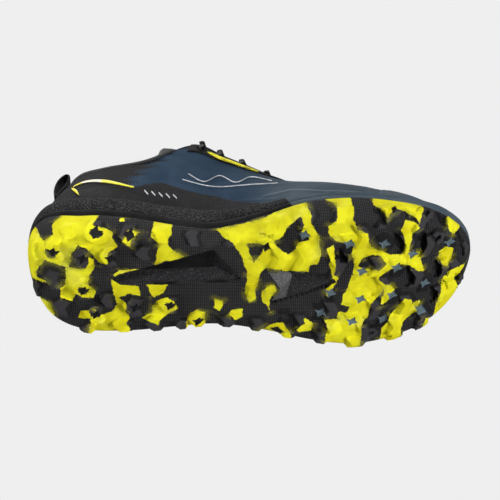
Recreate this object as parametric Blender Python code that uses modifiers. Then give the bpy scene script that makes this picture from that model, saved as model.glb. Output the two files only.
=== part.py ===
"""Left trail running shoe, size about EU 42.5, built from the pieces that a shoemaker assembles.

World frame: metres, +X towards the toe, +Y towards the outer (lateral) side, +Z up.
The origin is on the ground under the middle of the shoe. The form functions below work in
millimetres, with x measured from the back of the heel; to_world() converts them.
"""

import math

import bmesh
import bpy
import numpy as np
from mathutils import Vector

# ---------------------------------------------------------------- driving dimensions, mm
LENGTH = 295.0
PER_STATION = 3  # lattice steps round the last for each station
GAP = 0.4  # clearance between pieces that are glued or stitched together
HEEL_BEVEL = 14.0
TOE_SPRING = 30.0
LUG_HEIGHT = 4.0
OUTSOLE_SKIN = 2.5
UPPER_SKIN = 2.0
TOP_COVER = 1.1  # thickness of the welded overlays
BOARD_THICKNESS = 1.4
SOCKLINER_THICKNESS = 4.4
CUP_DEPTH = 2.6  # the lower foam's edge rises this much before the groove
UPPER_INSET = 6.6  # from the sole's edge to the outside of the upper at its foot
LACE_RADIUS = 1.15
LACE_ROWS = 5
EYELET_RADIUS = 2.8

# The forefoot bends about a line across the ball of the foot.
FLEX_X, FLEX_Z = 207.0, 28.3
FLEX_WEDGE = math.radians(27)
SPLIT = 0.3  # half of the slit in the sole at the flex line

# Stations round the shoe from the toe along the inner (medial) side to the heel and back:
# edge of the sole x, y | top line of the upper x, y, z | how upright the wall is at the top.
STATIONS = np.array([
    (295.0, 6.0, 262.0, 1.0, 59.0, 0.00),
    (287.5, -17.0, 257.0, -3.0, 60.5, 0.00),
    (270.0, -38.0, 247.0, -6.0, 63.0, 0.00),
    (245.0, -51.0, 231.0, -8.0, 66.5, 0.00),
    (213.0, -56.8, 208.0, -9.0, 71.5, 0.00),
    (183.0, -54.0, 185.0, -9.0, 80.0, 0.05),
    (155.0, -44.0, 160.0, -17.0, 95.0, 0.35),
    (125.0, -36.0, 131.0, -21.0, 111.0, 0.40),
    (98.0, -38.0, 108.0, -26.0, 119.0, 0.55),
    (68.0, -43.0, 77.0, -32.0, 92.0, 0.80),
    (38.0, -43.0, 50.0, -30.0, 86.0, 0.85),
    (12.0, -31.0, 32.0, -18.0, 93.5, 0.90),
    (0.0, 0.0, 24.0, 0.0, 99.0, 0.90),
    (11.0, 33.5, 32.0, 18.0, 93.5, 0.90),
    (38.0, 46.0, 50.0, 29.0, 86.0, 0.85),
    (68.0, 47.0, 77.0, 31.0, 86.0, 0.80),
    (98.0, 43.5, 108.0, 22.0, 116.0, 0.55),
    (125.0, 41.0, 131.0, 13.0, 109.0, 0.40),
    (155.0, 46.0, 160.0, 5.0, 95.0, 0.35),
    (187.0, 55.0, 185.0, -9.0, 80.0, 0.05),
    (217.0, 60.0, 208.0, -9.0, 71.5, 0.00),
    (245.0, 58.0, 231.0, -8.0, 66.5, 0.00),
    (270.0, 50.5, 247.0, -6.0, 63.0, 0.00),
    (288.0, 33.0, 257.0, -3.0, 60.5, 0.00),
])
STATION_COUNT = len(STATIONS)
AROUND = STATION_COUNT * PER_STATION
EDGE_X = [0, 11, 38, 83, 124, 159, 185, 210, 240, 262, 279, 295]  # where the side lines are given
CLOSED_VAMP = 5  # the two walls meet over the foot from the toe up to this station
TOE_POLE = 2 / AROUND  # the ribs up to here on both sides run to one point over the toes
SPINE_FROM, SPINE_TO = 42.0, 252.0
TONGUE_DROP = 5.9  # how far the tongue lies below the outside of the upper


# ---------------------------------------------------------------- the last and the sole
def closed_curve(values, t):
    """Smooth closed curve through the rows of values, for t from 0 to 1."""
    count = len(values)
    s = (np.asarray(t, float) % 1.0) * count
    i = np.floor(s).astype(int)
    f = (s - i)[..., None]
    before, start, end, after = (values[(i + k) % count] for k in (-1, 0, 1, 2))
    return 0.5 * (
        2 * start
        + (end - before) * f
        + (2 * before - 5 * start + 4 * end - after) * f**2
        + (3 * start - before - 3 * end + after) * f**3
    )


def smooth_step(x, low, high):
    k = np.clip((np.asarray(x, float) - low) / (high - low), 0, 1)
    return k * k * (3 - 2 * k)


def ground_rise(x):
    """How far the sole curves up from the ground: a little at the heel, toe spring in front."""
    x = np.asarray(x, float)
    heel = HEEL_BEVEL * (np.clip(40 - x, 0, None) / 40) ** 2
    toe = TOE_SPRING * (np.clip(x - 196, 0, None) / 99) ** 2
    return heel + toe


def drop(x, heel, forefoot, spring):
    """A level that falls from its heel value to its forefoot value, plus a share of the toe spring."""
    in_front = np.asarray(x) > 100
    return heel + (forefoot - heel) * smooth_step(x, 90, 195) + spring * ground_rise(x) * in_front


def outsole_bottom(x):
    return LUG_HEIGHT + ground_rise(x)


def outsole_edge_top(x):
    return np.interp(x, EDGE_X, [38, 31, 20, 18.5, 16.2, 19, 20.5, 21.6, 23.8, 28, 34.6, 45.5])


def foam_joint(x):
    """Height of the joint between the two midsole foams under the foot."""
    return drop(x, 21.0, 14.5, 0.80)


def foam_groove(x):
    """Height of the groove between the two foams on the side wall."""
    return np.interp(x, EDGE_X, [42.5, 36, 27, 25.5, 24.2, 24.3, 24.6, 25, 27.6, 31.8, 38.5, 49.2])


def footbed(x):
    return drop(x, 29.0, 19.6, 0.72)


def rim_top(x):
    return np.interp(x, EDGE_X, [50, 46, 41, 38.5, 37.5, 33.5, 29.5, 28, 30.8, 35.4, 43, 53.5])


def sole_edge(t):
    return closed_curve(STATIONS[:, :2], t)


def outward(t):
    """Unit vector in plan, square to the sole's edge and away from the foot."""
    along = sole_edge(np.asarray(t) + 1e-3) - sole_edge(np.asarray(t) - 1e-3)
    along /= np.linalg.norm(along, axis=-1, keepdims=True)
    return np.stack([-along[..., 1], along[..., 0]], -1)


def top_line(t):
    """Top of the upper's wall; over the closed vamp both walls share one ridge."""
    t = np.asarray(t, float) % 1.0
    from_toe = np.minimum(t, 1 - t)
    t = np.where(from_toe < TOE_POLE, TOE_POLE, t)
    tops = STATIONS[:, 2:6]
    own = closed_curve(tops, t)
    shared = 0.5 * (own + closed_curve(tops, -t))
    over_toes = from_toe <= CLOSED_VAMP / STATION_COUNT + 1e-9
    return np.where(over_toes[..., None], shared, own)


def wall(t, u):
    """Outside of the upper: t runs round the shoe, u from the sole (0) to the top line (1)."""
    t, u = np.broadcast_arrays(np.asarray(t, float), np.asarray(u, float))
    out = outward(t)
    foot_xy = sole_edge(t) - out * UPPER_INSET
    foot = np.concatenate([foot_xy, (footbed(foot_xy[..., 0]) + GAP)[..., None]], -1)
    top_data = top_line(t)
    top, upright = top_data[..., :3], top_data[..., 3:]
    out = np.concatenate([out, np.zeros(t.shape + (1,))], -1)
    up = np.array([0.0, 0.0, 1.0])
    height = (top - foot)[..., 2:3]
    inwards = (foot - top) * np.array([1.0, 1.0, 0.0])
    low_handle = foot + up * height * 0.55 + out * 2.5
    over_foot = inwards * 0.62
    fall = up * np.clip(out[..., :1], 0, None) * np.linalg.norm(over_foot, axis=-1, keepdims=True) * 0.3
    high_handle = (top + (over_foot - fall) * (1 - upright)
                   + (out * 2.5 - up * height * 0.3) * upright)
    v = u[..., None]
    return ((1 - v) ** 3 * foot + 3 * v * (1 - v) ** 2 * low_handle
            + 3 * v**2 * (1 - v) * high_handle + v**3 * top)


def wall_normal(t, u):
    """Outward unit normal of the upper's outside."""
    t, u = np.broadcast_arrays(np.asarray(t, float), np.asarray(u, float))
    low, high = np.clip(u - 0.02, 0, 1), np.clip(u + 0.02, 0, 1)
    round_shoe = wall(t + 1e-3, u) - wall(t - 1e-3, u)
    upwards = wall(t, high) - wall(t, low)
    normal = np.cross(upwards, round_shoe)
    return normal / np.linalg.norm(normal, axis=-1, keepdims=True)


def off_wall(t, u, offset):
    return wall(t, u) + wall_normal(t, u) * np.asarray(offset)[..., None]


def height_on_wall(t, z):
    """The u at which the wall at t reaches height z."""
    steps = np.linspace(0, 1, 81)
    heights = wall(t, steps)[:, 2]
    return float(np.interp(z, np.maximum.accumulate(heights), steps))


def to_world(points):
    shifted = np.asarray(points, float) - np.array([LENGTH / 2, 0, 0])
    return shifted / 1000


# ---------------------------------------------------------------- Blender helpers
def clear_scene():
    for old in list(bpy.data.objects):
        bpy.data.objects.remove(old, do_unlink=True)


def new_collection(name):
    collection = bpy.data.collections.new(name)
    bpy.context.scene.collection.children.link(collection)
    return collection


def material(name, colour, roughness):
    found = bpy.data.materials.get(name)
    if found:
        return found
    made = bpy.data.materials.new(name)
    made.use_nodes = True
    shader = made.node_tree.nodes["Principled BSDF"]
    shader.inputs["Base Color"].default_value = (*colour, 1.0)
    shader.inputs["Roughness"].default_value = roughness
    shader.inputs["Metallic"].default_value = 0.0
    return made


def add_object(name, data, finish=None, into=None, origin=None):
    """Puts mesh or curve data in the scene; origin (mm) is where the object's own origin goes."""
    made = bpy.data.objects.new(name, data)
    if origin is not None:
        place = Vector(to_world(origin))
        for point in data.vertices:
            point.co -= place
        made.location = place
    (into or SHOE).objects.link(made)
    if finish:
        data.materials.append(finish)
    return made


def mesh_from_bmesh(name, shape, outwards=True):
    if outwards:
        bmesh.ops.recalc_face_normals(shape, faces=shape.faces)
    mesh = bpy.data.meshes.new(name)
    shape.to_mesh(mesh)
    shape.free()
    mesh.shade_smooth()
    mesh.set_sharp_from_angle(angle=math.radians(40))
    return mesh


class Surface:
    """Collects points, sharing those that coincide, and the faces between rows of them."""

    def __init__(self):
        self.shape = bmesh.new()
        self.known = {}

    def point(self, place):
        key = tuple(np.round(place, 3))
        if key not in self.known:
            self.known[key] = self.shape.verts.new(to_world(place))
        return self.known[key]

    def face(self, corners):
        distinct = list(dict.fromkeys(self.point(p) for p in corners))
        if len(distinct) > 2 and not self.shape.faces.get(distinct):
            self.shape.faces.new(distinct)

    def between(self, first, second, closed=False):
        count = len(first)
        for i in range(count if closed else count - 1):
            j = (i + 1) % count
            self.face([first[i], first[j], second[j], second[i]])


def ring(inset, height):
    """One closed line round the sole, inside its edge by inset, at the height for each x."""
    t = np.arange(AROUND) / AROUND
    xy = sole_edge(t) - outward(t) * np.asarray(inset)[..., None]
    return np.concatenate([xy, height(xy[:, 0])[:, None]], 1)


def spine(height):
    """The ring folded onto the middle line of the sole."""
    edge = sole_edge(np.arange(AROUND) / AROUND)
    x = np.clip(0.5 * (edge + np.roll(edge[::-1], 1, 0))[:, 0], SPINE_FROM, SPINE_TO)
    y = np.interp(x, [SPINE_FROM, 125, SPINE_TO], [0, 2, 2])
    return np.stack([x, y, height(x)], 1)


def sole_layer(name, rings):
    """A closed body made of rings, from the middle underneath, round the edge, to the top."""
    surface = Surface()
    for lower, upper in zip(rings, rings[1:]):
        surface.between(lower, upper, closed=True)
    return mesh_from_bmesh(name, surface.shape)


def prism(name, outline, low, high, axis="Y"):
    """A cutter: an outline in XZ extruded along Y, or in XY extruded along Z (mm)."""
    def place(p, level):
        return (p[0], level, p[1]) if axis == "Y" else (p[0], p[1], level)

    surface = Surface()
    bottom = [place(p, low) for p in outline]
    top = [place(p, high) for p in outline]
    surface.between(bottom, top, closed=True)
    surface.face(bottom)
    surface.face(top)
    cutter = add_object(name, mesh_from_bmesh(name, surface.shape), into=CUTTERS)
    return hide_cutter(cutter)


def hide_cutter(cutter):
    cutter.hide_render = True
    cutter.display_type = "WIRE"
    return cutter


def boolean(piece, operation, cutter):
    modifier = piece.modifiers.new(operation.title(), "BOOLEAN")
    modifier.operation = operation
    modifier.solver = "EXACT"
    modifier.object = cutter
    return piece


def wall_patch(name, stations, u_low, u_high, rows, offset, thickness, finish):
    """A piece that lies on the wall: an open sheet at offset, thickened inwards by Solidify.

    stations are its two ends round the shoe; u_low and u_high give its lower and upper
    edge at each t; offset is where its outer face lies, measured from the upper's outside.
    """
    surface = Surface()
    lines = []
    first, last = stations
    steps = max(2, round((last - first) * PER_STATION))
    for t in np.linspace(first, last, steps + 1) / STATION_COUNT:
        u = np.linspace(u_low(t), u_high(t), rows + 1)
        lines.append(off_wall(np.full(rows + 1, t), u, np.full(rows + 1, offset)))
    for first, second in zip(lines, lines[1:]):
        surface.between(first, second)
    piece = add_object(name, mesh_from_bmesh(name, surface.shape, outwards=False), finish)
    return thicken(piece, thickness)


def thicken(piece, thickness):
    """Solidify away from the outside; the sheet's normals are first turned outwards."""
    modifier = piece.modifiers.new("Thickness", "SOLIDIFY")
    modifier.thickness = thickness / 1000
    modifier.offset = -1
    return piece


def tube_mesh(name, points, radius, resolution=2):
    """A round cord through points (mm) as a mesh, its caps welded."""
    curve = bpy.data.curves.new(name + "_line", "CURVE")
    curve.dimensions = "3D"
    curve.bevel_depth = radius / 1000
    curve.bevel_resolution = resolution
    curve.use_fill_caps = True
    line = curve.splines.new("POLY")
    places = to_world(points)
    line.points.add(len(places) - 1)
    for point, place in zip(line.points, places):
        point.co = (*place, 1)
    guide = bpy.data.objects.new(name + "_line", curve)
    CUTTERS.objects.link(guide)
    graph = bpy.context.evaluated_depsgraph_get()
    mesh = bpy.data.meshes.new_from_object(guide.evaluated_get(graph))
    bpy.data.objects.remove(guide, do_unlink=True)
    shape = bmesh.new()
    shape.from_mesh(mesh)
    bmesh.ops.remove_doubles(shape, verts=shape.verts, dist=1e-6)
    bpy.data.meshes.remove(mesh)
    return mesh_from_bmesh(name, shape)


def smooth_path(points, step):
    """Points a fixed distance apart along a smooth open curve through the given ones."""
    given = np.asarray(points, float)
    ends = np.vstack([2 * given[0] - given[1], given, 2 * given[-1] - given[-2]])
    fine = []
    for i in range(len(given) - 1):
        p0, p1, p2, p3 = ends[i:i + 4]
        for f in np.linspace(0, 1, 12, endpoint=False):
            fine.append(0.5 * (2 * p1 + (p2 - p0) * f + (2 * p0 - 5 * p1 + 4 * p2 - p3) * f**2
                               + (3 * p1 - p0 - 3 * p2 + p3) * f**3))
    fine = np.array(fine + [given[-1]])
    run = np.concatenate([[0], np.cumsum(np.linalg.norm(np.diff(fine, axis=0), axis=1))])
    wanted = np.linspace(0, run[-1], max(2, round(run[-1] / step)) + 1)
    return np.stack([np.interp(wanted, run, fine[:, k]) for k in range(3)], 1)


# ---------------------------------------------------------------- finishes
def rubber():
    return material("marbled_rubber", (0.62, 0.58, 0.03), 0.6)


def lower_foam():
    return material("lower_foam", (0.012, 0.012, 0.014), 0.75)


def upper_foam():
    return material("upper_foam", (0.02, 0.02, 0.022), 0.85)


def blue_knit():
    return material("blue_knit", (0.034, 0.06, 0.095), 0.85)


def black_textile():
    return material("black_textile", (0.008, 0.008, 0.009), 0.9)


def black_film():
    return material("black_film", (0.01, 0.01, 0.011), 0.45)


def grey_film():
    return material("blue_grey_film", (0.08, 0.105, 0.125), 0.5)


def yellow_film():
    return material("yellow_film", (0.78, 0.72, 0.04), 0.45)


def pale_foam():
    return material("pale_foam", (0.5, 0.5, 0.48), 0.9)


def board_fibre():
    return material("board_fibre", (0.6, 0.58, 0.52), 0.9)


def stiff_plastic():
    return material("stiffener", (0.25, 0.25, 0.26), 0.6)


def cord_black():
    return material("cord_black", (0.01, 0.01, 0.011), 0.8)


# ---------------------------------------------------------------- sole
def flex_cutters():
    """Three prisms that share out the shoe: behind the flex line, the wedge over it, in front."""
    far = 140.0
    lean = math.tan(FLEX_WEDGE)
    top = 150.0
    rear = [(-20, -10), (FLEX_X - SPLIT, -10), (FLEX_X - SPLIT, top), (-20, top)]
    lean_x = FLEX_X + (top - FLEX_Z) * lean
    front = [(FLEX_X + SPLIT, -10), (320, -10), (320, top), (lean_x + SPLIT, top),
             (FLEX_X + SPLIT, FLEX_Z)]
    wedge = [(FLEX_X, FLEX_Z + 0.8), (lean_x - 0.2, top), (FLEX_X, top)]
    return (prism("cut_rear", rear, -far, far), prism("cut_front", front, -far, far),
            prism("cut_wedge", wedge, -far, far))


def split_at_flex(name, mesh, finish, rear_cut, front_cut):
    """The same layer as two pieces, behind and in front of the flex line."""
    rear = add_object(name + "_rear", mesh, finish)
    front = add_object(name + "_forefoot", mesh.copy())
    return boolean(rear, "INTERSECT", rear_cut), boolean(front, "INTERSECT", front_cut)


def outsole_mesh():
    base = outsole_bottom

    def skin(x):
        return base(x) + OUTSOLE_SKIN

    def middle(x):
        return 0.45 * base(x) + 0.55 * outsole_edge_top(x)

    return sole_layer("outsole", [
        spine(base),
        ring(14.0, base),
        ring(3.6, lambda x: base(x) + 0.4),
        ring(0.6, lambda x: base(x) + 3.6),
        ring(0.0, middle),
        ring(0.6, outsole_edge_top),
        ring(2.7, outsole_edge_top),
        ring(3.4, lambda x: skin(x) + 3.4),
        ring(6.6, skin),
        ring(14.0, skin),
        spine(skin),
    ])


def lower_midsole_mesh():
    def bottom(x):
        return outsole_bottom(x) + OUTSOLE_SKIN + GAP

    return sole_layer("midsole_lower", [
        spine(bottom),
        ring(14.0, bottom),
        ring(6.9, bottom),
        ring(3.9, lambda x: bottom(x) + 3.3),
        ring(3.2, lambda x: outsole_edge_top(x) + 0.4),
        ring(0.2, lambda x: outsole_edge_top(x) + 0.6),
        ring(0.0, lambda x: 0.5 * (outsole_edge_top(x) + foam_groove(x))),
        ring(1.4, foam_groove),
        ring(2.4, lambda x: foam_groove(x) - 0.3),
        ring(5.4, lambda x: foam_joint(x) + CUP_DEPTH),
        ring(9.0, foam_joint),
        spine(foam_joint),
    ])


def upper_midsole_mesh():
    return sole_layer("midsole_upper", [
        spine(lambda x: foam_joint(x) + GAP),
        ring(8.8, lambda x: foam_joint(x) + GAP),
        ring(5.9, lambda x: foam_joint(x) + CUP_DEPTH + GAP),
        ring(3.0, lambda x: foam_groove(x) + 0.5),
        ring(1.8, lambda x: foam_groove(x) + GAP + 0.2),
        ring(0.3, lambda x: 0.6 * foam_groove(x) + 0.4 * rim_top(x)),
        ring(0.9, lambda x: 0.2 * foam_groove(x) + 0.8 * rim_top(x)),
        ring(2.6, rim_top),
        ring(4.6, lambda x: rim_top(x) - 0.6),
        ring(5.4, lambda x: footbed(x) + 0.6),
        ring(6.0, footbed),
        ring(14.0, footbed),
        spine(footbed),
    ])


def flat_layer_mesh(name, inset, lift, thickness, lip=0.0):
    """A board or insole that lies on the footbed, its edge turned up by lip."""
    def bottom(x):
        return footbed(x) + lift

    def top(x):
        return footbed(x) + lift + thickness

    return sole_layer(name, [
        spine(bottom),
        ring(18.0, bottom),
        ring(inset + 0.8, bottom),
        ring(inset, lambda x: top(x) + lip),
        ring(18.0, top),
        spine(top),
    ])


def lug_places():
    """Centre, size (along, across), heading and kind of every lug, mm and degrees."""
    places = []
    # Forefoot: six bent rows of chevrons that point to the toe.
    rows = [(218, 5, 47), (233, 4, 46), (247, 5, 43), (260, 4, 36), (272, 3, 26)]
    for x, count, reach in rows:
        for y in np.linspace(-reach, reach, count):
            places.append((x - abs(y) * 0.12, y + 2, 11.0, 13.0, 0.0, "chevron"))
    places.append((281, 4, 8.0, 12.0, 0.0, "chevron"))
    # Behind the flex line.
    for x, ys in [(199, (-47, 31, 47)), (184, (-45, -28, 29, 44)), (168, (-41, 24, 39))]:
        places += [(x, y, 11.0, 12.0, 0.0, "chevron") for y in ys]
    # Waist: few small blocks near the edges.
    places += [(x, y, 9.0, 8.0, 0.0, "block") for x, y in
               [(150, -36), (134, -31), (118, -30), (150, 35), (134, 34), (117, 34)]]
    # Heel: larger blocks whose points brake to the rear.
    for x, ys in [(98, (-31, 34)), (82, (-35, 20, 35)), (66, (-37, -20, 20, 37)),
                  (50, (-38, -19, 19, 37)), (34, (-36, -12, 12, 35)), (18, (-25, 0, 25))]:
        places += [(x, y, 11.5, 12.0, 180.0, "chevron") for y in ys]
    return places


def lug_outline(length, width, heading, kind):
    """Plan outline of one lug round its own centre."""
    a, b = length / 2, width / 2
    if kind == "chevron":
        outline = [(a, 0), (a * 0.25, b), (-a * 0.8, b * 0.8), (-a * 0.45, 0),
                   (-a * 0.8, -b * 0.8), (a * 0.25, -b)]
    else:
        outline = [(a, b * 0.6), (-a * 0.6, b), (-a, -b * 0.6), (a * 0.6, -b)]
    turn = math.radians(heading)
    return [(p * math.cos(turn) - q * math.sin(turn), p * math.sin(turn) + q * math.cos(turn))
            for p, q in outline]


def lugs_mesh(keep):
    """All the lugs for which keep(x) is true, as one set of tapered blocks."""
    surface = Surface()
    taper = 0.84
    edge = sole_edge(np.linspace(0, 1, 400))

    def root_height(x, y):
        """The lug's root, inside the rubber skin, which curves up near the edge."""
        inset = np.min(np.linalg.norm(edge - [x, y], axis=1))
        return outsole_bottom(x) + 1.2 + 2.4 * np.clip((8 - inset) / 8, 0, 1)

    for x, y, length, width, heading, kind in lug_places():
        if not keep(x):
            continue
        outline = lug_outline(length, width, heading, kind)
        buried = [(x + p * taper, y + q * taper, root_height(x + p * taper, y + q * taper))
                  for p, q in outline]
        tread = [(x + p * taper**2, y + q * taper**2, ground_rise(x + p * taper**2))
                 for p, q in outline]
        surface.between(buried, tread, closed=True)
        surface.face(buried)
        surface.face(tread)
    return mesh_from_bmesh("lugs", surface.shape)


def window_cutters():
    """The two faceted pits that open the outsole and show the foam."""
    heel = [(58, -3), (124, -27), (142, -3), (63, 2)]
    fore = [(158, -11), (186, -7), (200, -5), (203, 0), (185, 10), (160, 18), (167, 7)]
    made = []
    for name, outline, depth in (("cut_heel_window", heel, 5.5), ("cut_fore_window", fore, 4.5)):
        middle = np.mean(outline, axis=0)
        surface = Surface()
        mouth = [(x, y, -2.0) for x, y in outline]
        lip = [(x, y, 6.0) for x, y in outline]
        shrunk = [middle + (np.array(p) - middle) * 0.72 for p in outline]
        floor = [(x, y, 6.0 + depth) for x, y in shrunk]
        surface.between(mouth, lip, closed=True)
        surface.between(lip, floor, closed=True)
        surface.face(mouth)
        surface.face(floor)
        made.append(hide_cutter(add_object(name, mesh_from_bmesh(name, surface.shape), into=CUTTERS)))
    return made


def build_sole(rear_cut, front_cut):
    windows = window_cutters()
    outsole_rear, outsole_front = split_at_flex("outsole", outsole_mesh(), rubber(), rear_cut, front_cut)
    for name, piece, keep in (("lugs_behind_flex", outsole_rear, lambda x: x < FLEX_X),
                              ("lugs_before_flex", outsole_front, lambda x: x > FLEX_X)):
        lugs = hide_cutter(add_object(name, lugs_mesh(keep), into=CUTTERS))
        boolean(piece, "UNION", lugs)
    lower_rear, _ = split_at_flex("midsole_lower", lower_midsole_mesh(), lower_foam(), rear_cut, front_cut)
    for window in windows:
        boolean(outsole_rear, "DIFFERENCE", window)
        boolean(lower_rear, "DIFFERENCE", window)
    split_at_flex("midsole_upper", upper_midsole_mesh(), upper_foam(), rear_cut, front_cut)
    board = flat_layer_mesh("strobel_board", UPPER_INSET + UPPER_SKIN + 0.6, GAP, BOARD_THICKNESS)
    split_at_flex("strobel_board", board, board_fibre(), rear_cut, front_cut)
    lift = GAP + BOARD_THICKNESS + GAP
    insole = flat_layer_mesh("sockliner", UPPER_INSET + 4.6, lift, SOCKLINER_THICKNESS, lip=0.8)
    split_at_flex("sockliner", insole, pale_foam(), rear_cut, front_cut)


# ---------------------------------------------------------------- upper
def upper_shell_mesh():
    """The whole upper as one open sheet; both walls share the ridge over the toes."""
    surface = Surface()
    rows = 7
    u = np.linspace(0, 1, rows + 1)
    lines = [wall(np.full(rows + 1, k / AROUND), u) for k in range(AROUND)]
    for i, line in enumerate(lines):
        surface.between(line, lines[(i + 1) % AROUND])
    return mesh_from_bmesh("upper_shell", surface.shape, outwards=False)


def rim_u(t):
    x = wall(t, 0.1)[0]
    return height_on_wall(t, float(rim_top(x)) + 1.2)


def mudguard_top(x):
    return np.interp(x, [0, 40, 71, 88, 106, 124, 138, 155, 172], [57, 56, 57, 65, 60.5, 56.7, 48, 39.5, 31])


def mudguard_u(t):
    x = wall(t, 0.3)[0]
    return max(height_on_wall(t, float(mudguard_top(x))), rim_u(t) + 0.03)


def eyestay_low(t):
    station = min(t, 1 - t) * STATION_COUNT
    return float(np.interp(station, [5.2, 6.0, 7.0, 8.0], [0.83, 0.77, 0.76, 0.80]))


def eyelet_positions(side):
    """(t, u) of the lace holes on one side, from the lowest row up."""
    stations = np.linspace(5.5, 7.75, LACE_ROWS)
    return [((s if side < 0 else STATION_COUNT - s) / STATION_COUNT, 0.5 * (eyelet_u + 1.0) - 0.02)
            for s, eyelet_u in zip(stations, [eyestay_low(s / STATION_COUNT) for s in stations])]


def eyelet_cutter(side):
    surface_mesh = bmesh.new()
    for t, u in eyelet_positions(side):
        normal = Vector(wall_normal(t, u))
        turn = normal.to_track_quat("Z", "Y").to_matrix().to_4x4()
        turn.translation = Vector(to_world(wall(t, u)))
        bmesh.ops.create_cone(surface_mesh, cap_ends=True, segments=10, radius1=EYELET_RADIUS / 1000,
                              radius2=EYELET_RADIUS / 1000, depth=0.012, matrix=turn)
    name = "cut_eyelets_" + ("medial" if side < 0 else "lateral")
    return hide_cutter(add_object(name, mesh_from_bmesh(name, surface_mesh), into=CUTTERS))


def build_upper(rear_cut, front_cut, wedge_cut):
    shell = upper_shell_mesh()
    quarters = thicken(add_object("upper_quarters", shell, blue_knit()), UPPER_SKIN)
    toe_box = thicken(add_object("vamp_toe_box", shell.copy()), UPPER_SKIN)
    flex = thicken(add_object("vamp_flex_zone", shell.copy()), UPPER_SKIN)
    boolean(quarters, "INTERSECT", rear_cut)
    boolean(toe_box, "INTERSECT", front_cut)
    boolean(flex, "INTERSECT", wedge_cut)
    for side, label, low, high in ((-1, "medial", 16 / 3, 8), (1, "lateral", 16, 56 / 3)):
        holes = eyelet_cutter(side)
        eyestay = wall_patch(label + "_eyestay", (low, high), eyestay_low, lambda t: 1.0,
                             3, 0.5 + TOP_COVER, TOP_COVER, black_film())
        boolean(quarters, "DIFFERENCE", holes)
        boolean(eyestay, "DIFFERENCE", holes)
    build_overlays()
    build_heel_inside()
    wall_patch("toe_puff", (-2, 2), lambda t: 0.42, lambda t: 0.78,
               3, -UPPER_SKIN - GAP, 1.0, stiff_plastic())


def build_overlays():
    over = 0.5 + TOP_COVER
    wall_patch("toe_overlay", (-10 / 3, 10 / 3), rim_u, lambda t: 0.84,
               6, over + 0.3, TOP_COVER, grey_film())
    for label, ends in (("medial", (17 / 3, 35 / 3)), ("lateral", (37 / 3, 55 / 3))):
        wall_patch(label + "_mudguard", ends, rim_u, mudguard_u, 2, over, TOP_COVER, black_film())
    wall_patch("heel_panel", (26 / 3, 46 / 3), lambda t: mudguard_u(t) + 0.025, heel_panel_top,
               4, over, TOP_COVER, black_textile())
    for side, label in ((-1, "medial"), (1, "lateral")):
        heel_stripe(side, label)
        eyestay_piping(side, label)


def heel_panel_top(t):
    """The textile ends in a slanting front edge and otherwise at the top line."""
    station = min(t, 1 - t) * STATION_COUNT
    return float(np.interp(station, [8.5, 9.3], [0.80, 0.985]))


def stripe_line(t):
    x = wall(t, 0.5)[0]
    z = np.interp(x, [24, 30, 35, 47, 61, 72], [58, 62, 66, 62.4, 58.4, 55.4])
    return height_on_wall(t, float(z))


def heel_stripe(side, label):
    ends = (27 / 3, 32 / 3) if side < 0 else (40 / 3, 45 / 3)
    wall_patch(label + "_heel_stripe", ends, lambda t: stripe_line(t) - 0.030,
               lambda t: stripe_line(t) + 0.030, 1, 0.5 + TOP_COVER + 0.4 + 0.7, 0.7, yellow_film())


def eyestay_piping(side, label):
    """A bright cord sewn along the lower edge of the eyestay."""
    stations = np.linspace(6.1, 7.9, 8)
    t = (stations if side < 0 else STATION_COUNT - stations) / STATION_COUNT
    u = np.interp(stations, [6.1, 6.4, 6.8, 7.9], [0.70, 0.74, 0.80, 0.80])
    route = off_wall(t, u, np.full(8, 0.5 + TOP_COVER + 0.3 + 0.8))
    mesh = tube_mesh(label + "_eyestay_piping", smooth_path(route, 7.0), 0.8)
    add_object(label + "_eyestay_piping", mesh, yellow_film())


def build_heel_inside():
    inner = -UPPER_SKIN - GAP
    wall_patch("heel_counter", (9, 15), lambda t: 0.05,
               lambda t: float(np.interp(abs(t - 0.5) * STATION_COUNT, [0, 1.5, 3], [0.52, 0.5, 0.3])),
               3, inner, 1.2, stiff_plastic())
    wall_patch("collar_foam", (26 / 3, 46 / 3), lambda t: 0.60, lambda t: 0.97,
               3, inner, 5.0, pale_foam())
    wall_patch("collar_lining", (26 / 3, 46 / 3), lambda t: 0.57, lambda t: 0.985,
               3, inner - 5.0 - 0.5, 1.0, black_textile())


# ---------------------------------------------------------------- tongue and lace
TONGUE_ACROSS = (0.80, 0.90, 1.0)  # how far up each wall the tongue's wings are taken
TONGUE_LOW_STATION, TONGUE_FOLD_STATION = 5.0, 7.9


def tongue_line(station, lift=0.0):
    """Cross-section of the tongue at a station, from the inner wing over the top to the outer."""
    t = station / STATION_COUNT
    below = -TONGUE_DROP + lift
    inner = [off_wall(t, u, below) for u in TONGUE_ACROSS]
    outer = [off_wall(1 - t, u, below) for u in TONGUE_ACROSS]
    crown = 0.5 * (inner[-1] + outer[-1]) + np.array([0, 0, 0.6])
    width = abs(inner[-1][1] - outer[-1][1])
    if width < 6:
        return [*inner[:2], crown, *outer[1::-1]]
    quarter = 0.12 * width * np.array([0, 0, 0.35])
    return [*inner, 0.5 * (inner[-1] + crown) + quarter, crown + quarter,
            0.5 * (outer[-1] + crown) + quarter, *outer[::-1]]


def resampled(line, count):
    """count points evenly spaced along a smooth curve through the given ones."""
    fine = smooth_path(line, 0.5)
    run = np.linspace(0, len(fine) - 1, count)
    return np.stack([np.interp(run, np.arange(len(fine)), fine[:, k]) for k in range(3)], 1)


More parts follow.
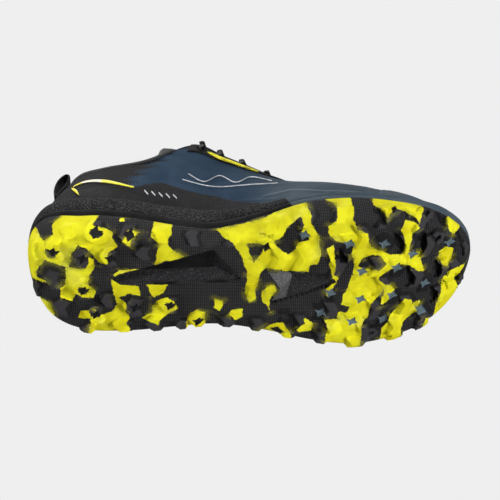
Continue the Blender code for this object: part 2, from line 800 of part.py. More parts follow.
def sheet(name, lines, thickness, finish, outside_up=True, origin=None):
    surface = Surface()
    for first, second in zip(lines, lines[1:]):
        surface.between(first, second)
    shape = surface.shape
    bmesh.ops.recalc_face_normals(shape, faces=shape.faces)
    shape.normal_update()
    upward = sum(face.normal.z * face.calc_area() for face in shape.faces) > 0
    if upward != outside_up:
        bmesh.ops.reverse_faces(shape, faces=shape.faces)
    piece = add_object(name, mesh_from_bmesh(name, shape, outwards=False), finish, origin=origin)
    return thicken(piece, thickness)


def tongue_tip_lines():
    """The free end of the tongue, which goes on past the fold and flares a little."""
    base = resampled(tongue_line(TONGUE_FOLD_STATION + 0.12), 9)
    before = resampled(tongue_line(TONGUE_FOLD_STATION - 0.5), 9)
    middle = base[4]
    way = (base[4] - before[4]) / np.linalg.norm(base[4] - before[4])
    lines = [base]
    for run, rise, spread in ((7, 0.6, 1.0), (14, 2.4, 0.97), (20, 5.0, 0.84), (23.5, 7.0, 0.62)):
        moved = middle + (base - middle) * np.array([1, spread, 1 - run * 0.012])
        lines.append(moved + way * run + np.array([0, 0, rise]))
    return lines


def fold_point():
    line = resampled(tongue_line(TONGUE_FOLD_STATION + 0.02), 9)
    return line[4]


def build_tongue():
    stations = np.linspace(TONGUE_LOW_STATION, TONGUE_FOLD_STATION, 10)
    skin = [resampled(tongue_line(s), 9) for s in stations]
    lower = np.array([0, 0, -1.2])
    foam = [resampled(tongue_line(s, lift=-1.4), 9)[1:-1] + lower for s in stations[1:]]
    sheet("tongue_body", skin, 1.0, black_textile())
    sheet("tongue_foam", foam, 3.0, pale_foam())
    sheet("tongue_top", tongue_tip_lines(), 4.2, black_film(), origin=fold_point())


def lace_route():
    """One lace from its outer end to its inner end, criss-crossed and going down each hole."""
    holes = {side: eyelet_positions(side) for side in (-1, 1)}

    def at(side, row, u_shift, offset):
        t, u = holes[side][row]
        return off_wall(t, min(u + u_shift, 1.0), offset)

    tongue = np.concatenate([resampled(tongue_line(s), 41) for s in np.linspace(5.2, 7.9, 80)])

    def over_tongue(place, height):
        """The point above place that lies at a height over the tongue."""
        nearest = np.argmin(np.linalg.norm(tongue[:, :2] - place[:2], axis=1))
        return np.array([place[0], place[1], tongue[nearest, 2] + height])

    def crossing(row):
        return 0.25 * sum(at(side, level, 1.0, 0) for side in (-1, 1) for level in (row, row + 1))

    def end_inside(side):
        return [at(side, -1, 0, -0.6), at(side, -1, -0.03, -3.9), at(side, -1, -0.10, -3.9),
                at(side, -1, -0.17, -5.5), at(side, -1, -0.25, -9.0), at(side, -1, -0.34, -10.5),
                at(side, -1, -0.46, -11.0)]

    def half(first_side):
        """From the bar at the lowest row up to the free end."""
        side = first_side
        points = []
        for row in range(LACE_ROWS):
            points += [at(side, row, 0.045, 3.6), at(side, row, 0.0, 3.2)]
            if row == LACE_ROWS - 1:
                return points + end_inside(side)
            points += [at(side, row, 0.0, -0.6), at(side, row, 0.012, -3.7),
                       at(side, row, 0.06, -4.2), at(side, row, 1.0, -4.3)]
            above_the_other = (side < 0) == (row % 2 == 0)
            points.append(over_tongue(0.5 * (points[-1] + crossing(row)), 2.4))
            points.append(over_tongue(crossing(row), 5.4 if above_the_other else 2.5))
            side = -side
            points += [at(side, row + 1, 1.0, 5.4), at(side, row + 1, 0.09, 4.9)]

    inner, outer = half(-1), half(1)
    bar = 0.5 * (inner[0] + outer[0]) + np.array([0, 0, 1.0])
    return outer[::-1] + [bar] + inner


def build_lace():
    route = smooth_path(lace_route(), 4.6)
    mesh = tube_mesh("lace", route[2:-2], LACE_RADIUS, resolution=1)
    add_object("lace", mesh, cord_black())
    for label, tip, before in (("lateral", route[1], route[2]), ("medial", route[-2], route[-3])):
        way = (tip - before) / np.linalg.norm(tip - before)
        start = before + way * (LACE_RADIUS * 0.2 + GAP)
        mesh = tube_mesh(label + "_lace_aglet", [start, start + way * 18], LACE_RADIUS * 0.95)
        add_object(label + "_lace_aglet", mesh, black_film())


# ---------------------------------------------------------------- heel loop
LOOP_WIDTH = 12.0
LOOP_ROOT = (15.1, 0.0, 88.3)


def build_heel_loop():
    """Webbing: a flat patch sewn to the heel and the loop that stands up from it."""
    wall_patch("heel_tab_anchor", (11.82, 12.18), lambda t: 0.60, lambda t: 0.755,
               2, 0.5 + TOP_COVER + GAP + 1.0, 1.0, cord_black())
    outline = [(14.0, 88.3), (12.3, 93), (12.2, 99), (14.0, 105.5), (17.6, 111), (20.6, 112.2),
               (22.4, 109.5), (21.6, 104.5), (19.9, 99), (17.8, 94), (15.7, 88.3)]
    spine_line = smooth_path([(x, 0.0, z) for x, z in outline], 4.0)
    lines = [[p + np.array([0, y, 0]) for y in (-LOOP_WIDTH / 2, LOOP_WIDTH / 2)] for p in spine_line]
    surface = Surface()
    for first, second in zip(lines, lines[1:]):
        surface.between(first, second)
    shape = surface.shape
    bmesh.ops.recalc_face_normals(shape, faces=shape.faces)
    mesh = mesh_from_bmesh("heel_pull_tab", shape, outwards=False)
    loop = add_object("heel_pull_tab", mesh, cord_black(), origin=LOOP_ROOT)
    thicken(loop, 1.3).modifiers["Thickness"].offset = 0


def main():
    clear_scene()
    rear_cut, front_cut, wedge_cut = flex_cutters()
    build_sole(rear_cut, front_cut)
    build_upper(rear_cut, front_cut, wedge_cut)
    build_tongue()
    build_lace()
    build_heel_loop()


clear_scene()
SHOE = new_collection("running_shoe")
CUTTERS = new_collection("cutters")
main()
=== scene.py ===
"""Looks of the left trail running shoe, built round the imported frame.

Form functions work in millimetres, with x from the back of the heel, y towards the outer side
and z up; to_world() turns them into the frame's metres. Wall coordinates are t, once round the
shoe from the toe along the inner side, and u, from the sole (0) to the top line (1).
"""

import math

import bmesh
import bpy
import numpy as np
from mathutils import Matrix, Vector


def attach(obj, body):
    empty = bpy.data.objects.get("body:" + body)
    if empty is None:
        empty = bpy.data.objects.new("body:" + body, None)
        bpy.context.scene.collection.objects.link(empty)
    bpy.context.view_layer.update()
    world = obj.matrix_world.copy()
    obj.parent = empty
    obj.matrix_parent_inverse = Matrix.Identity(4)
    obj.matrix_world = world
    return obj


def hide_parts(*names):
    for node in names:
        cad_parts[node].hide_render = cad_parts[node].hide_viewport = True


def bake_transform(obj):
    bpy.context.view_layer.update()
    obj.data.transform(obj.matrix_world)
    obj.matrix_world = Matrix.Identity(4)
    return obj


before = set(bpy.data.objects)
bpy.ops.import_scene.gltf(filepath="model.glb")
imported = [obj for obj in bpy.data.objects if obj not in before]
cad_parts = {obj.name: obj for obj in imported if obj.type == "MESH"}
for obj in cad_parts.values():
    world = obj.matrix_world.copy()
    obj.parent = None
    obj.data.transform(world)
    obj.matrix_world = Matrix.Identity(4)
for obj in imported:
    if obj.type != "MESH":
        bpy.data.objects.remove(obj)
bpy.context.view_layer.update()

LENGTH = 295.0
GAP = 0.4
UPPER_INSET = 6.6
UPPER_SKIN = 2.0
HEEL_BEVEL, TOE_SPRING = 14.0, 30.0
LUG_HEIGHT, OUTSOLE_SKIN = 4.0, 2.5
CLOSED_VAMP = 5
TOE_POLE = 2 / 72
TONGUE_DROP = 5.9

STATIONS = np.array([
    (295.0, 6.0, 262.0, 1.0, 59.0, 0.00),
    (287.5, -17.0, 257.0, -3.0, 60.5, 0.00),
    (270.0, -38.0, 247.0, -6.0, 63.0, 0.00),
    (245.0, -51.0, 231.0, -8.0, 66.5, 0.00),
    (213.0, -56.8, 208.0, -9.0, 71.5, 0.00),
    (183.0, -54.0, 185.0, -9.0, 80.0, 0.05),
    (155.0, -44.0, 160.0, -17.0, 95.0, 0.35),
    (125.0, -36.0, 131.0, -21.0, 111.0, 0.40),
    (98.0, -38.0, 108.0, -26.0, 119.0, 0.55),
    (68.0, -43.0, 77.0, -32.0, 92.0, 0.80),
    (38.0, -43.0, 50.0, -30.0, 86.0, 0.85),
    (12.0, -31.0, 32.0, -18.0, 93.5, 0.90),
    (0.0, 0.0, 24.0, 0.0, 99.0, 0.90),
    (11.0, 33.5, 32.0, 18.0, 93.5, 0.90),
    (38.0, 46.0, 50.0, 29.0, 86.0, 0.85),
    (68.0, 47.0, 77.0, 31.0, 86.0, 0.80),
    (98.0, 43.5, 108.0, 22.0, 116.0, 0.55),
    (125.0, 41.0, 131.0, 13.0, 109.0, 0.40),
    (155.0, 46.0, 160.0, 5.0, 95.0, 0.35),
    (187.0, 55.0, 185.0, -9.0, 80.0, 0.05),
    (217.0, 60.0, 208.0, -9.0, 71.5, 0.00),
    (245.0, 58.0, 231.0, -8.0, 66.5, 0.00),
    (270.0, 50.5, 247.0, -6.0, 63.0, 0.00),
    (288.0, 33.0, 257.0, -3.0, 60.5, 0.00),
])
COUNT = len(STATIONS)
EDGE_X = [0, 11, 38, 83, 124, 159, 185, 210, 240, 262, 279, 295]
SPINE_FROM, SPINE_TO = 42.0, 252.0


# ---------------------------------------------------------------- the shoe's form
def closed_curve(values, t):
    count = len(values)
    s = (np.asarray(t, float) % 1.0) * count
    i = np.floor(s).astype(int)
    f = (s - i)[..., None]
    before, start, end, after = (values[(i + k) % count] for k in (-1, 0, 1, 2))
    return 0.5 * (2 * start + (end - before) * f + (2 * before - 5 * start + 4 * end - after) * f**2
                  + (3 * start - before - 3 * end + after) * f**3)


def smooth_step(x, low, high):
    k = np.clip((np.asarray(x, float) - low) / (high - low), 0, 1)
    return k * k * (3 - 2 * k)


def ground_rise(x):
    x = np.asarray(x, float)
    return (HEEL_BEVEL * (np.clip(40 - x, 0, None) / 40) ** 2
            + TOE_SPRING * (np.clip(x - 196, 0, None) / 99) ** 2)


def drop(x, heel, forefoot, spring):
    in_front = np.asarray(x) > 100
    return heel + (forefoot - heel) * smooth_step(x, 90, 195) + spring * ground_rise(x) * in_front


def outsole_bottom(x):
    return LUG_HEIGHT + ground_rise(x)


def outsole_edge_top(x):
    return np.interp(x, EDGE_X, [38, 31, 20, 18.5, 16.2, 19, 20.5, 21.6, 23.8, 28, 34.6, 45.5])


def foam_joint(x):
    return drop(x, 21.0, 14.5, 0.80)


def foam_groove(x):
    return np.interp(x, EDGE_X, [42.5, 36, 27, 25.5, 24.2, 24.3, 24.6, 25, 27.6, 31.8, 38.5, 49.2])


def footbed(x):
    return drop(x, 29.0, 19.6, 0.72)


def rim_top(x):
    return np.interp(x, EDGE_X, [50, 46, 41, 38.5, 37.5, 33.5, 29.5, 28, 30.8, 35.4, 43, 53.5])


def softened(profile, reach=16):
    """The same side line with its corners rounded over reach half-millimetres either way."""
    xs = np.linspace(-30, 330, 721)
    kernel = np.hanning(2 * reach + 1)
    ys = np.convolve(np.pad(profile(np.clip(xs, 0, LENGTH)), reach, mode="edge"), kernel / kernel.sum(), "valid")
    return lambda x: np.interp(x, xs, ys)


EDGE_TOP, GROOVE, RIM = softened(outsole_edge_top), softened(foam_groove), softened(rim_top)


def sole_edge(t):
    return closed_curve(STATIONS[:, :2], t)


def outward(t):
    along = sole_edge(np.asarray(t) + 1e-3) - sole_edge(np.asarray(t) - 1e-3)
    along /= np.linalg.norm(along, axis=-1, keepdims=True)
    return np.stack([-along[..., 1], along[..., 0]], -1)


def top_line(t):
    t = np.asarray(t, float) % 1.0
    from_toe = np.minimum(t, 1 - t)
    t = np.where(from_toe < TOE_POLE, TOE_POLE, t)
    tops = STATIONS[:, 2:6]
    own = closed_curve(tops, t)
    shared = 0.5 * (own + closed_curve(tops, -t))
    return np.where((from_toe <= CLOSED_VAMP / COUNT + 1e-9)[..., None], shared, own)


def wall(t, u):
    t, u = np.broadcast_arrays(np.asarray(t, float), np.asarray(u, float))
    out = outward(t)
    foot_xy = sole_edge(t) - out * UPPER_INSET
    foot = np.concatenate([foot_xy, (footbed(foot_xy[..., 0]) + GAP)[..., None]], -1)
    top_data = top_line(t)
    top, upright = top_data[..., :3], top_data[..., 3:]
    out = np.concatenate([out, np.zeros(t.shape + (1,))], -1)
    up = np.array([0.0, 0.0, 1.0])
    height = (top - foot)[..., 2:3]
    inwards = (foot - top) * np.array([1.0, 1.0, 0.0])
    low_handle = foot + up * height * 0.55 + out * 2.5
    over_foot = inwards * 0.62
    fall = up * np.clip(out[..., :1], 0, None) * np.linalg.norm(over_foot, axis=-1, keepdims=True) * 0.3
    high_handle = (top + (over_foot - fall) * (1 - upright)
                   + (out * 2.5 - up * height * 0.3) * upright)
    v = u[..., None]
    return ((1 - v) ** 3 * foot + 3 * v * (1 - v) ** 2 * low_handle
            + 3 * v**2 * (1 - v) * high_handle + v**3 * top)


def wall_normal(t, u):
    t, u = np.broadcast_arrays(np.asarray(t, float), np.asarray(u, float))
    low, high = np.clip(u - 0.02, 0, 1), np.clip(u + 0.02, 0, 1)
    normal = np.cross(wall(t, high) - wall(t, low), wall(t + 1e-3, u) - wall(t - 1e-3, u))
    return normal / np.linalg.norm(normal, axis=-1, keepdims=True)


def off_wall(t, u, offset):
    return wall(t, u) + wall_normal(t, u) * np.asarray(offset)[..., None]


def height_on_wall(t, z):
    """The u at which the wall reaches height z, for arrays of t and z."""
    t, z = np.broadcast_arrays(np.atleast_1d(np.asarray(t, float)), np.asarray(z, float))
    steps = np.linspace(0, 1, 81)
    heights = np.maximum.accumulate(wall(t[:, None], steps[None, :])[..., 2], axis=1)
    return np.array([np.interp(level, row, steps) for level, row in zip(z, heights)])


def to_world(points):
    return (np.asarray(points, float) - np.array([LENGTH / 2, 0, 0])) / 1000


def ring(t, inset, height):
    xy = sole_edge(t) - outward(t) * np.asarray(inset)[..., None]
    return np.concatenate([xy, height(xy[:, 0])[:, None]], 1)


def spine(t, height):
    edge, other = sole_edge(t), sole_edge(-t)
    x = np.clip(0.5 * (edge + other)[:, 0], SPINE_FROM, SPINE_TO)
    y = np.interp(x, [SPINE_FROM, 125, SPINE_TO], [0, 2, 2])
    return np.stack([x, y, height(x)], 1)


# ---------------------------------------------------------------- mesh helpers
def add_mesh(name, points, faces, attributes=None, sharp=40, weld=True):
    """A piece from points in mm; attributes are one number or one triple for each point."""
    mesh = bpy.data.meshes.new(name)
    mesh.from_pydata(to_world(points).tolist(), [], faces)
    attributes = dict(attributes or {})
    attributes.setdefault("rest_mm", np.asarray(points, float))
    for label, values in attributes.items():
        values = np.asarray(values, float)
        kind, key = ("FLOAT_VECTOR", "vector") if values.ndim == 2 else ("FLOAT", "value")
        layer = mesh.attributes.new(label, kind, "POINT")
        layer.data.foreach_set(key, values.astype(np.float32).ravel())
    shape = bmesh.new()
    shape.from_mesh(mesh)
    if weld:
        bmesh.ops.remove_doubles(shape, verts=shape.verts, dist=2e-6)
        bmesh.ops.dissolve_degenerate(shape, edges=shape.edges, dist=1e-7)
    bmesh.ops.recalc_face_normals(shape, faces=shape.faces)
    shape.to_mesh(mesh)
    shape.free()
    mesh.shade_smooth()
    if sharp:
        mesh.set_sharp_from_angle(angle=math.radians(sharp))
    piece = bpy.data.objects.new(name, mesh)
    bpy.context.scene.collection.objects.link(piece)
    return piece


def grid_faces(rows, cols, wrap_rows=False, wrap_cols=False, first=0):
    r = np.arange(rows if wrap_rows else rows - 1)[:, None]
    c = np.arange(cols if wrap_cols else cols - 1)[None, :]
    near, far, right = r * cols, (r + 1) % rows * cols, (c + 1) % cols
    quads = np.stack([near + c, near + right, far + right, far + c], -1)
    return quads.reshape(-1, 4) + first


def finished(piece):
    """Applies the piece's modifiers, so that its mesh is final."""
    graph = bpy.context.evaluated_depsgraph_get()
    mesh = bpy.data.meshes.new_from_object(piece.evaluated_get(graph))
    piece.modifiers.clear()
    piece.data = mesh
    return piece


def tube_lattice(name, sections, attributes=None, cap=True, sharp=40):
    """A closed body from cross-section loops (sections x around x 3), its two ends capped."""
    sections = np.asarray(sections, float)
    rows, cols = sections.shape[:2]
    faces = grid_faces(rows, cols, wrap_cols=True).tolist()
    if cap:
        faces += [list(range(cols))[::-1], list(range((rows - 1) * cols, rows * cols))]
    flat = {k: np.asarray(v, float).reshape((rows * cols, -1)).squeeze() for k, v in (attributes or {}).items()}
    return add_mesh(name, sections.reshape(-1, 3), faces, flat, sharp)


def wall_sheet(name, t, u_low, u_high, rows, offset, thickness, shape_offset=None, sharp=40, soft=0.35):
    """A film on the wall from u_low(t) to u_high(t): closed, with eased edges.

    shape_offset(t, u, across) may add relief to the outer face; across runs 0 to 1 over the film.
    """
    t = np.asarray(t, float)
    low, high = np.broadcast_to(u_low, t.shape), np.broadcast_to(u_high, t.shape)
    offset, thickness = (np.broadcast_to(v, t.shape)[:, None] for v in (offset, thickness))
    across = np.linspace(0, 1, rows + 1)
    u = low[:, None] + (high - low)[:, None] * across[None, :]
    tt = np.broadcast_to(t[:, None], u.shape)
    relief = 0.0 if shape_offset is None else shape_offset(tt, u, np.broadcast_to(across, u.shape))
    ends = np.minimum(np.arange(len(t)), np.arange(len(t))[::-1])[:, None]
    edge = np.minimum(np.minimum(np.arange(rows + 1), np.arange(rows + 1)[::-1])[None, :], ends)
    ease = np.where(edge == 0, soft, 0.0)
    outer = off_wall(tt, u, offset + relief - ease * thickness)
    inner = off_wall(tt, u, np.broadcast_to(offset - thickness, u.shape))
    arc = np.concatenate([[0], np.cumsum(np.linalg.norm(np.diff(wall(t, 0.4), axis=0), axis=1))])
    rise = np.linalg.norm(wall(t, high) - wall(t, low), axis=1)
    flat = np.stack([np.broadcast_to(arc[:, None], u.shape), rise[:, None] * across[None, :],
                     np.zeros(u.shape)], -1)
    loops = np.concatenate([outer, inner[:, ::-1]], 1)
    film = np.concatenate([flat, flat[:, ::-1]], 1)
    ridge = np.broadcast_to(relief, u.shape)
    attributes = {"film_mm": film, "fade_mm": fade_line(loops),
                  "ridge_mm": np.concatenate([ridge, 0 * ridge], 1)}
    return tube_lattice(name, loops, attributes, sharp=sharp)


def tube(name, points, radius, sides=10, squash=1.0, normals=None, twist_attribute=True):
    """A cord through points (mm); squash flattens it along the given normals."""
    points = np.asarray(points, float)
    along = np.gradient(points, axis=0)
    along /= np.linalg.norm(along, axis=1, keepdims=True)
    if normals is None:
        normals = np.zeros_like(points)
        normal = np.cross(along[0], [0.3, 0.2, 1.0])
        for i, way in enumerate(along):
            normal = normal - way * np.dot(normal, way)
            normal /= np.linalg.norm(normal)
            normals[i] = normal
    normals = normals - along * np.sum(normals * along, axis=1, keepdims=True)
    normals /= np.linalg.norm(normals, axis=1, keepdims=True)
    side = np.cross(along, normals)
    angle = np.arange(sides) / sides * math.tau
    radius = np.broadcast_to(radius, len(points))[:, None, None]
    loops = (points[:, None, :] + side[:, None, :] * np.cos(angle)[None, :, None] * radius
             + normals[:, None, :] * np.sin(angle)[None, :, None] * radius * squash)
    run = np.concatenate([[0], np.cumsum(np.linalg.norm(np.diff(points, axis=0), axis=1))])
    cord = np.stack([np.broadcast_to(run[:, None], loops.shape[:2]),
                     np.broadcast_to(angle[None, :], loops.shape[:2]), np.zeros(loops.shape[:2])], -1)
    return tube_lattice(name, loops, {"cord_mm": cord}, sharp=60)


def smooth_path(points, step):
    given = np.asarray(points, float)
    ends = np.vstack([2 * given[0] - given[1], given, 2 * given[-1] - given[-2]])
    fine = []
    for i in range(len(given) - 1):
        p0, p1, p2, p3 = ends[i:i + 4]
        for f in np.linspace(0, 1, 12, endpoint=False):
            fine.append(0.5 * (2 * p1 + (p2 - p0) * f + (2 * p0 - 5 * p1 + 4 * p2 - p3) * f**2
                               + (3 * p1 - p0 - 3 * p2 + p3) * f**3))
    fine = np.array(fine + [given[-1]])
    run = np.concatenate([[0], np.cumsum(np.linalg.norm(np.diff(fine, axis=0), axis=1))])
    wanted = np.linspace(0, run[-1], max(2, round(run[-1] / step)) + 1)
    return np.stack([np.interp(wanted, run, fine[:, k]) for k in range(fine.shape[1])], 1)


def inside_distance(points, polygon):
    """Signed distance to the polygon's outline, positive inside."""
    px, py = points[:, 0], points[:, 1]
    polygon = np.asarray(polygon, float)
    nearest = np.full(len(points), 1e9)
    inside = np.zeros(len(points), bool)
    for (ax, ay), (bx, by) in zip(polygon, np.roll(polygon, -1, 0)):
        dx, dy = bx - ax, by - ay
        f = np.clip(((px - ax) * dx + (py - ay) * dy) / (dx * dx + dy * dy), 0, 1)
        nearest = np.minimum(nearest, np.hypot(px - ax - f * dx, py - ay - f * dy))
        if by != ay:
            crosses = ((ay > py) != (by > py)) & (px < ax + (py - ay) * dx / (by - ay))
            inside ^= crosses
    return np.where(inside, nearest, -nearest)


# ---------------------------------------------------------------- materials
class Finish:
    """Builds one procedural material; every method returns a node socket."""

    def __init__(self, name, rough=0.6, specular=0.3, **uniform):
        self.material = bpy.data.materials.new(name)
        self.material.use_nodes = True
        self.nodes = self.material.node_tree.nodes
        self.links = self.material.node_tree.links
        self.shader = self.nodes["Principled BSDF"]
        self.shader.inputs["Roughness"].default_value = rough
        self.shader.inputs["Specular IOR Level"].default_value = specular
        for key, value in uniform.items():
            self.shader.inputs[key.replace("_", " ")].default_value = value

    def put(self, socket, value):
        if isinstance(value, bpy.types.NodeSocket):
            self.links.new(value, socket)
        elif isinstance(value, (tuple, list)) and len(value) == 3 and socket.type == "RGBA":
            socket.default_value = (*value, 1.0)
        else:
            socket.default_value = value

    def attribute(self, name, output="Fac"):
        node = self.nodes.new("ShaderNodeAttribute")
        node.attribute_name = name
        return node.outputs[output]

    def place(self, name="rest_mm", scale=(1, 1, 1)):
        node = self.nodes.new("ShaderNodeMapping")
        self.links.new(self.attribute(name, "Vector"), node.inputs["Vector"])
        node.inputs["Scale"].default_value = scale
        return node.outputs["Vector"]

    def noise(self, vector, scale, detail=2.0, rough=0.5):
        node = self.nodes.new("ShaderNodeTexNoise")
        self.links.new(vector, node.inputs["Vector"])
        node.inputs["Scale"].default_value = scale
        node.inputs["Detail"].default_value = detail
        node.inputs["Roughness"].default_value = rough
        return node.outputs["Fac"]

    def cells(self, vector, scale, feature="F1", random=1.0):
        node = self.nodes.new("ShaderNodeTexVoronoi")
        node.feature = feature
        self.links.new(vector, node.inputs["Vector"])
        node.inputs["Scale"].default_value = scale
        node.inputs["Randomness"].default_value = random
        return node.outputs["Distance"]

    def math(self, operation, a, b=0.0, c=None, clamp=False):
        node = self.nodes.new("ShaderNodeMath")
        node.operation = operation
        node.use_clamp = clamp
        self.put(node.inputs[0], a)
        self.put(node.inputs[1], b)
        if c is not None:
            self.put(node.inputs[2], c)
        return node.outputs[0]

    def step(self, value, low, high):
        node = self.nodes.new("ShaderNodeMapRange")
        node.interpolation_type = "SMOOTHSTEP"
        self.put(node.inputs["Value"], value)
        node.inputs["From Min"].default_value = low
        node.inputs["From Max"].default_value = high
        return node.outputs["Result"]

    def mix(self, factor, a, b):
        node = self.nodes.new("ShaderNodeMix")
        node.data_type = "RGBA"
        self.put(node.inputs[0], factor)
        self.put(node.inputs[6], a)
        self.put(node.inputs[7], b)
        return node.outputs[2]

    def split(self, vector):
        node = self.nodes.new("ShaderNodeSeparateXYZ")
        self.links.new(vector, node.inputs[0])
        return node.outputs

    def wave(self, value, pitch, phase=0.0):
        """Sine of a length in mm, from -1 to 1."""
        return self.math("SINE", self.math("MULTIPLY_ADD", value, math.tau / pitch, phase))

    def bump(self, height, depth_mm, strength=1.0, after=None):
        node = self.nodes.new("ShaderNodeBump")
        node.inputs["Strength"].default_value = strength
        node.inputs["Distance"].default_value = depth_mm / 1000
        self.put(node.inputs["Height"], height)
        if after is not None:
            self.links.new(after, node.inputs["Normal"])
        return node.outputs["Normal"]

    def done(self, colour, normal=None, rough=None):
        self.put(self.shader.inputs["Base Color"], colour)
        if normal is not None:
            self.links.new(normal, self.shader.inputs["Normal"])
        if rough is not None:
            self.put(self.shader.inputs["Roughness"], rough)
        return self.material


def marbled_rubber():
    """Black rubber with flowing yellow patches whose edges break up, a fine dot grid between the lugs, a painted
    highlight that lightens the black lug tops, and painted shade that blackens the notches behind the forefoot lugs.
    """
    f = Finish("marbled_rubber", rough=0.6, specular=0.16)
    place = f.place()
    camo, lug = f.attribute("camo_mm"), f.attribute("lug")
    broad = f.math("SUBTRACT", f.noise(place, 0.16, 3.0), 0.5)
    fine = f.math("SUBTRACT", f.noise(place, 0.9, 4.0, 0.65), 0.5)
    ragged = f.math("ADD", f.math("MULTIPLY", broad, 3.2), f.math("MULTIPLY", fine, 2.2))
    edge = f.math("ADD", camo, ragged)
    patch = f.step(edge, -0.18, 0.22)
    brushed = f.step(f.noise(f.place(scale=(1, 1.6, 1)), 0.075, 2.0), 0.52, 0.60)
    grain = f.step(f.noise(f.place(scale=(1.0, 3.0, 1.0)), 1.1, 4.0, 0.75), 0.42, 0.58)
    spray = f.math("MULTIPLY", f.math("MULTIPLY", f.step(edge, -4.6, 0.6), brushed), grain)
    patch = f.math("MAXIMUM", patch, f.math("MULTIPLY", spray, 0.72))
    bald = f.math("MULTIPLY", f.math("SUBTRACT", 1.0, f.step(edge, 0.2, 3.6)), f.math("MULTIPLY", brushed, grain))
    patch = f.math("MULTIPLY", patch, f.math("SUBTRACT", 1.0, f.math("MULTIPLY", bald, 0.55)))
    tone = f.noise(place, 0.07, 3.0)
    yellow = f.mix(f.step(tone, 0.35, 0.65), (0.66, 0.60, 0.005), (0.80, 0.76, 0.014))
    yellow = f.mix(f.math("MULTIPLY", f.step(f.noise(place, 0.045, 2.0), 0.58, 0.70), 0.35), yellow,
                   (0.86, 0.84, 0.12))
    smear = f.step(f.noise(f.place(scale=(0.5, 1.6, 1)), 0.6, 4.0), 0.62, 0.80)
    yellow = f.mix(f.math("MULTIPLY", smear, 0.30), yellow, (0.24, 0.27, 0.06))
    black = f.mix(f.step(tone, 0.3, 0.7), (0.006, 0.006, 0.007), (0.013, 0.0125, 0.013))
    # Painted highlight: the tops of the black lugs are painted lighter, as if lit.
    black = f.mix(f.math("MULTIPLY", f.step(lug, 0.5, 1.0), 0.75), black, (0.046, 0.043, 0.047))
    inset = f.step(f.attribute("star_mm"), -0.1, 0.15)
    forward = f.step(f.split(f.attribute("rest_mm", "Vector"))[0], 176, 182)
    pip = f.mix(forward, (0.010, 0.010, 0.011), (0.115, 0.165, 0.195))
    pip = f.mix(f.step(f.attribute("square"), 0.4, 0.6), pip, (0.010, 0.010, 0.011))
    colour = f.mix(inset, f.mix(patch, black, yellow), pip)
    # Painted shade: the notches behind the forefoot lugs are painted near-black, as the shadow behind each lug.
    notch_and_shade = f.step(f.attribute("notch_shade_mm"), -0.3, 0.4)
    colour = f.mix(f.math("MULTIPLY", notch_and_shade, 0.93), colour, (0.004, 0.004, 0.005))
    grid = f.split(f.attribute("plan_mm", "Vector"))
    pitch = 1.25
    dots = f.math("MULTIPLY", f.wave(grid[0], 2 * pitch), f.wave(grid[1], 2 * pitch))
    dots = f.math("MULTIPLY", f.step(f.math("ABSOLUTE", dots), 0.35, 0.75),
                  f.math("SUBTRACT", 1.0, f.math("MAXIMUM", f.step(lug, 0.02, 0.15), notch_and_shade)))
    dots = f.math("MULTIPLY", dots, f.math("SUBTRACT", 1.0, f.math("MULTIPLY", patch, 0.9)))
    colour = f.mix(f.math("MULTIPLY", dots, 0.8), colour, (0.066, 0.064, 0.068))
    normal = f.bump(dots, 0.45, 0.9)
    normal = f.bump(f.noise(place, 3.0, 4.0), 0.10, 0.5, after=normal)
    rough = f.math("MULTIPLY_ADD", f.noise(place, 0.5, 3.0), 0.25, 0.58)
    return f.done(colour, normal, rough)


def fore_colour(f, place, colour):
    """The foams turn from black to the toe's blue grey in front of a slanting line."""
    xyz = f.split(f.attribute("rest_mm", "Vector"))
    line = f.math("MULTIPLY_ADD", xyz[2], 0.45, xyz[0])
    front = f.step(line, 183.0, 184.2)
    slate = f.mix(f.step(f.noise(place, 0.06, 3.0), 0.3, 0.7), (0.058, 0.080, 0.100), (0.078, 0.102, 0.122))
    return f.mix(front, colour, slate)


def speckled_foam(name, dark, pale, amount=0.56, relief=0.5):
    """Moulded foam with a sprayed stone texture."""
    f = Finish(name, rough=0.85, specular=0.10)
    place = f.place()
    grain = f.cells(place, 0.95)
    fleck = f.step(f.noise(place, 1.25, 3.0, 0.7), amount, amount + 0.10)
    colour = f.mix(f.math("MULTIPLY", fleck, 0.8), dark, pale)
    colour = f.mix(f.math("MULTIPLY", f.step(f.noise(place, 0.05, 2.0), 0.4, 0.7), 0.3), colour, dark)
    colour = fore_colour(f, place, colour)
    normal = f.bump(grain, relief, 0.7)
    return f.done(colour, f.bump(f.noise(place, 0.8, 4.0), 0.4, 0.4, after=normal))


def smooth_foam():
    f = Finish("smooth_foam", rough=0.7, specular=0.08)
    place = f.place()
    colour = f.mix(f.step(f.noise(place, 0.06, 3.0), 0.3, 0.7), (0.006, 0.006, 0.0065), (0.013, 0.013, 0.0135))
    colour = fore_colour(f, place, colour)
    along = f.wave(f.split(f.attribute("rest_mm", "Vector"))[0], 9.0)
    crease = f.math("MULTIPLY", f.step(along, 0.93, 1.0), -1.0)
    normal = f.bump(crease, 0.25, 0.5)
    return f.done(colour, f.bump(f.noise(place, 2.0, 4.0), 0.12, 0.6, after=normal))


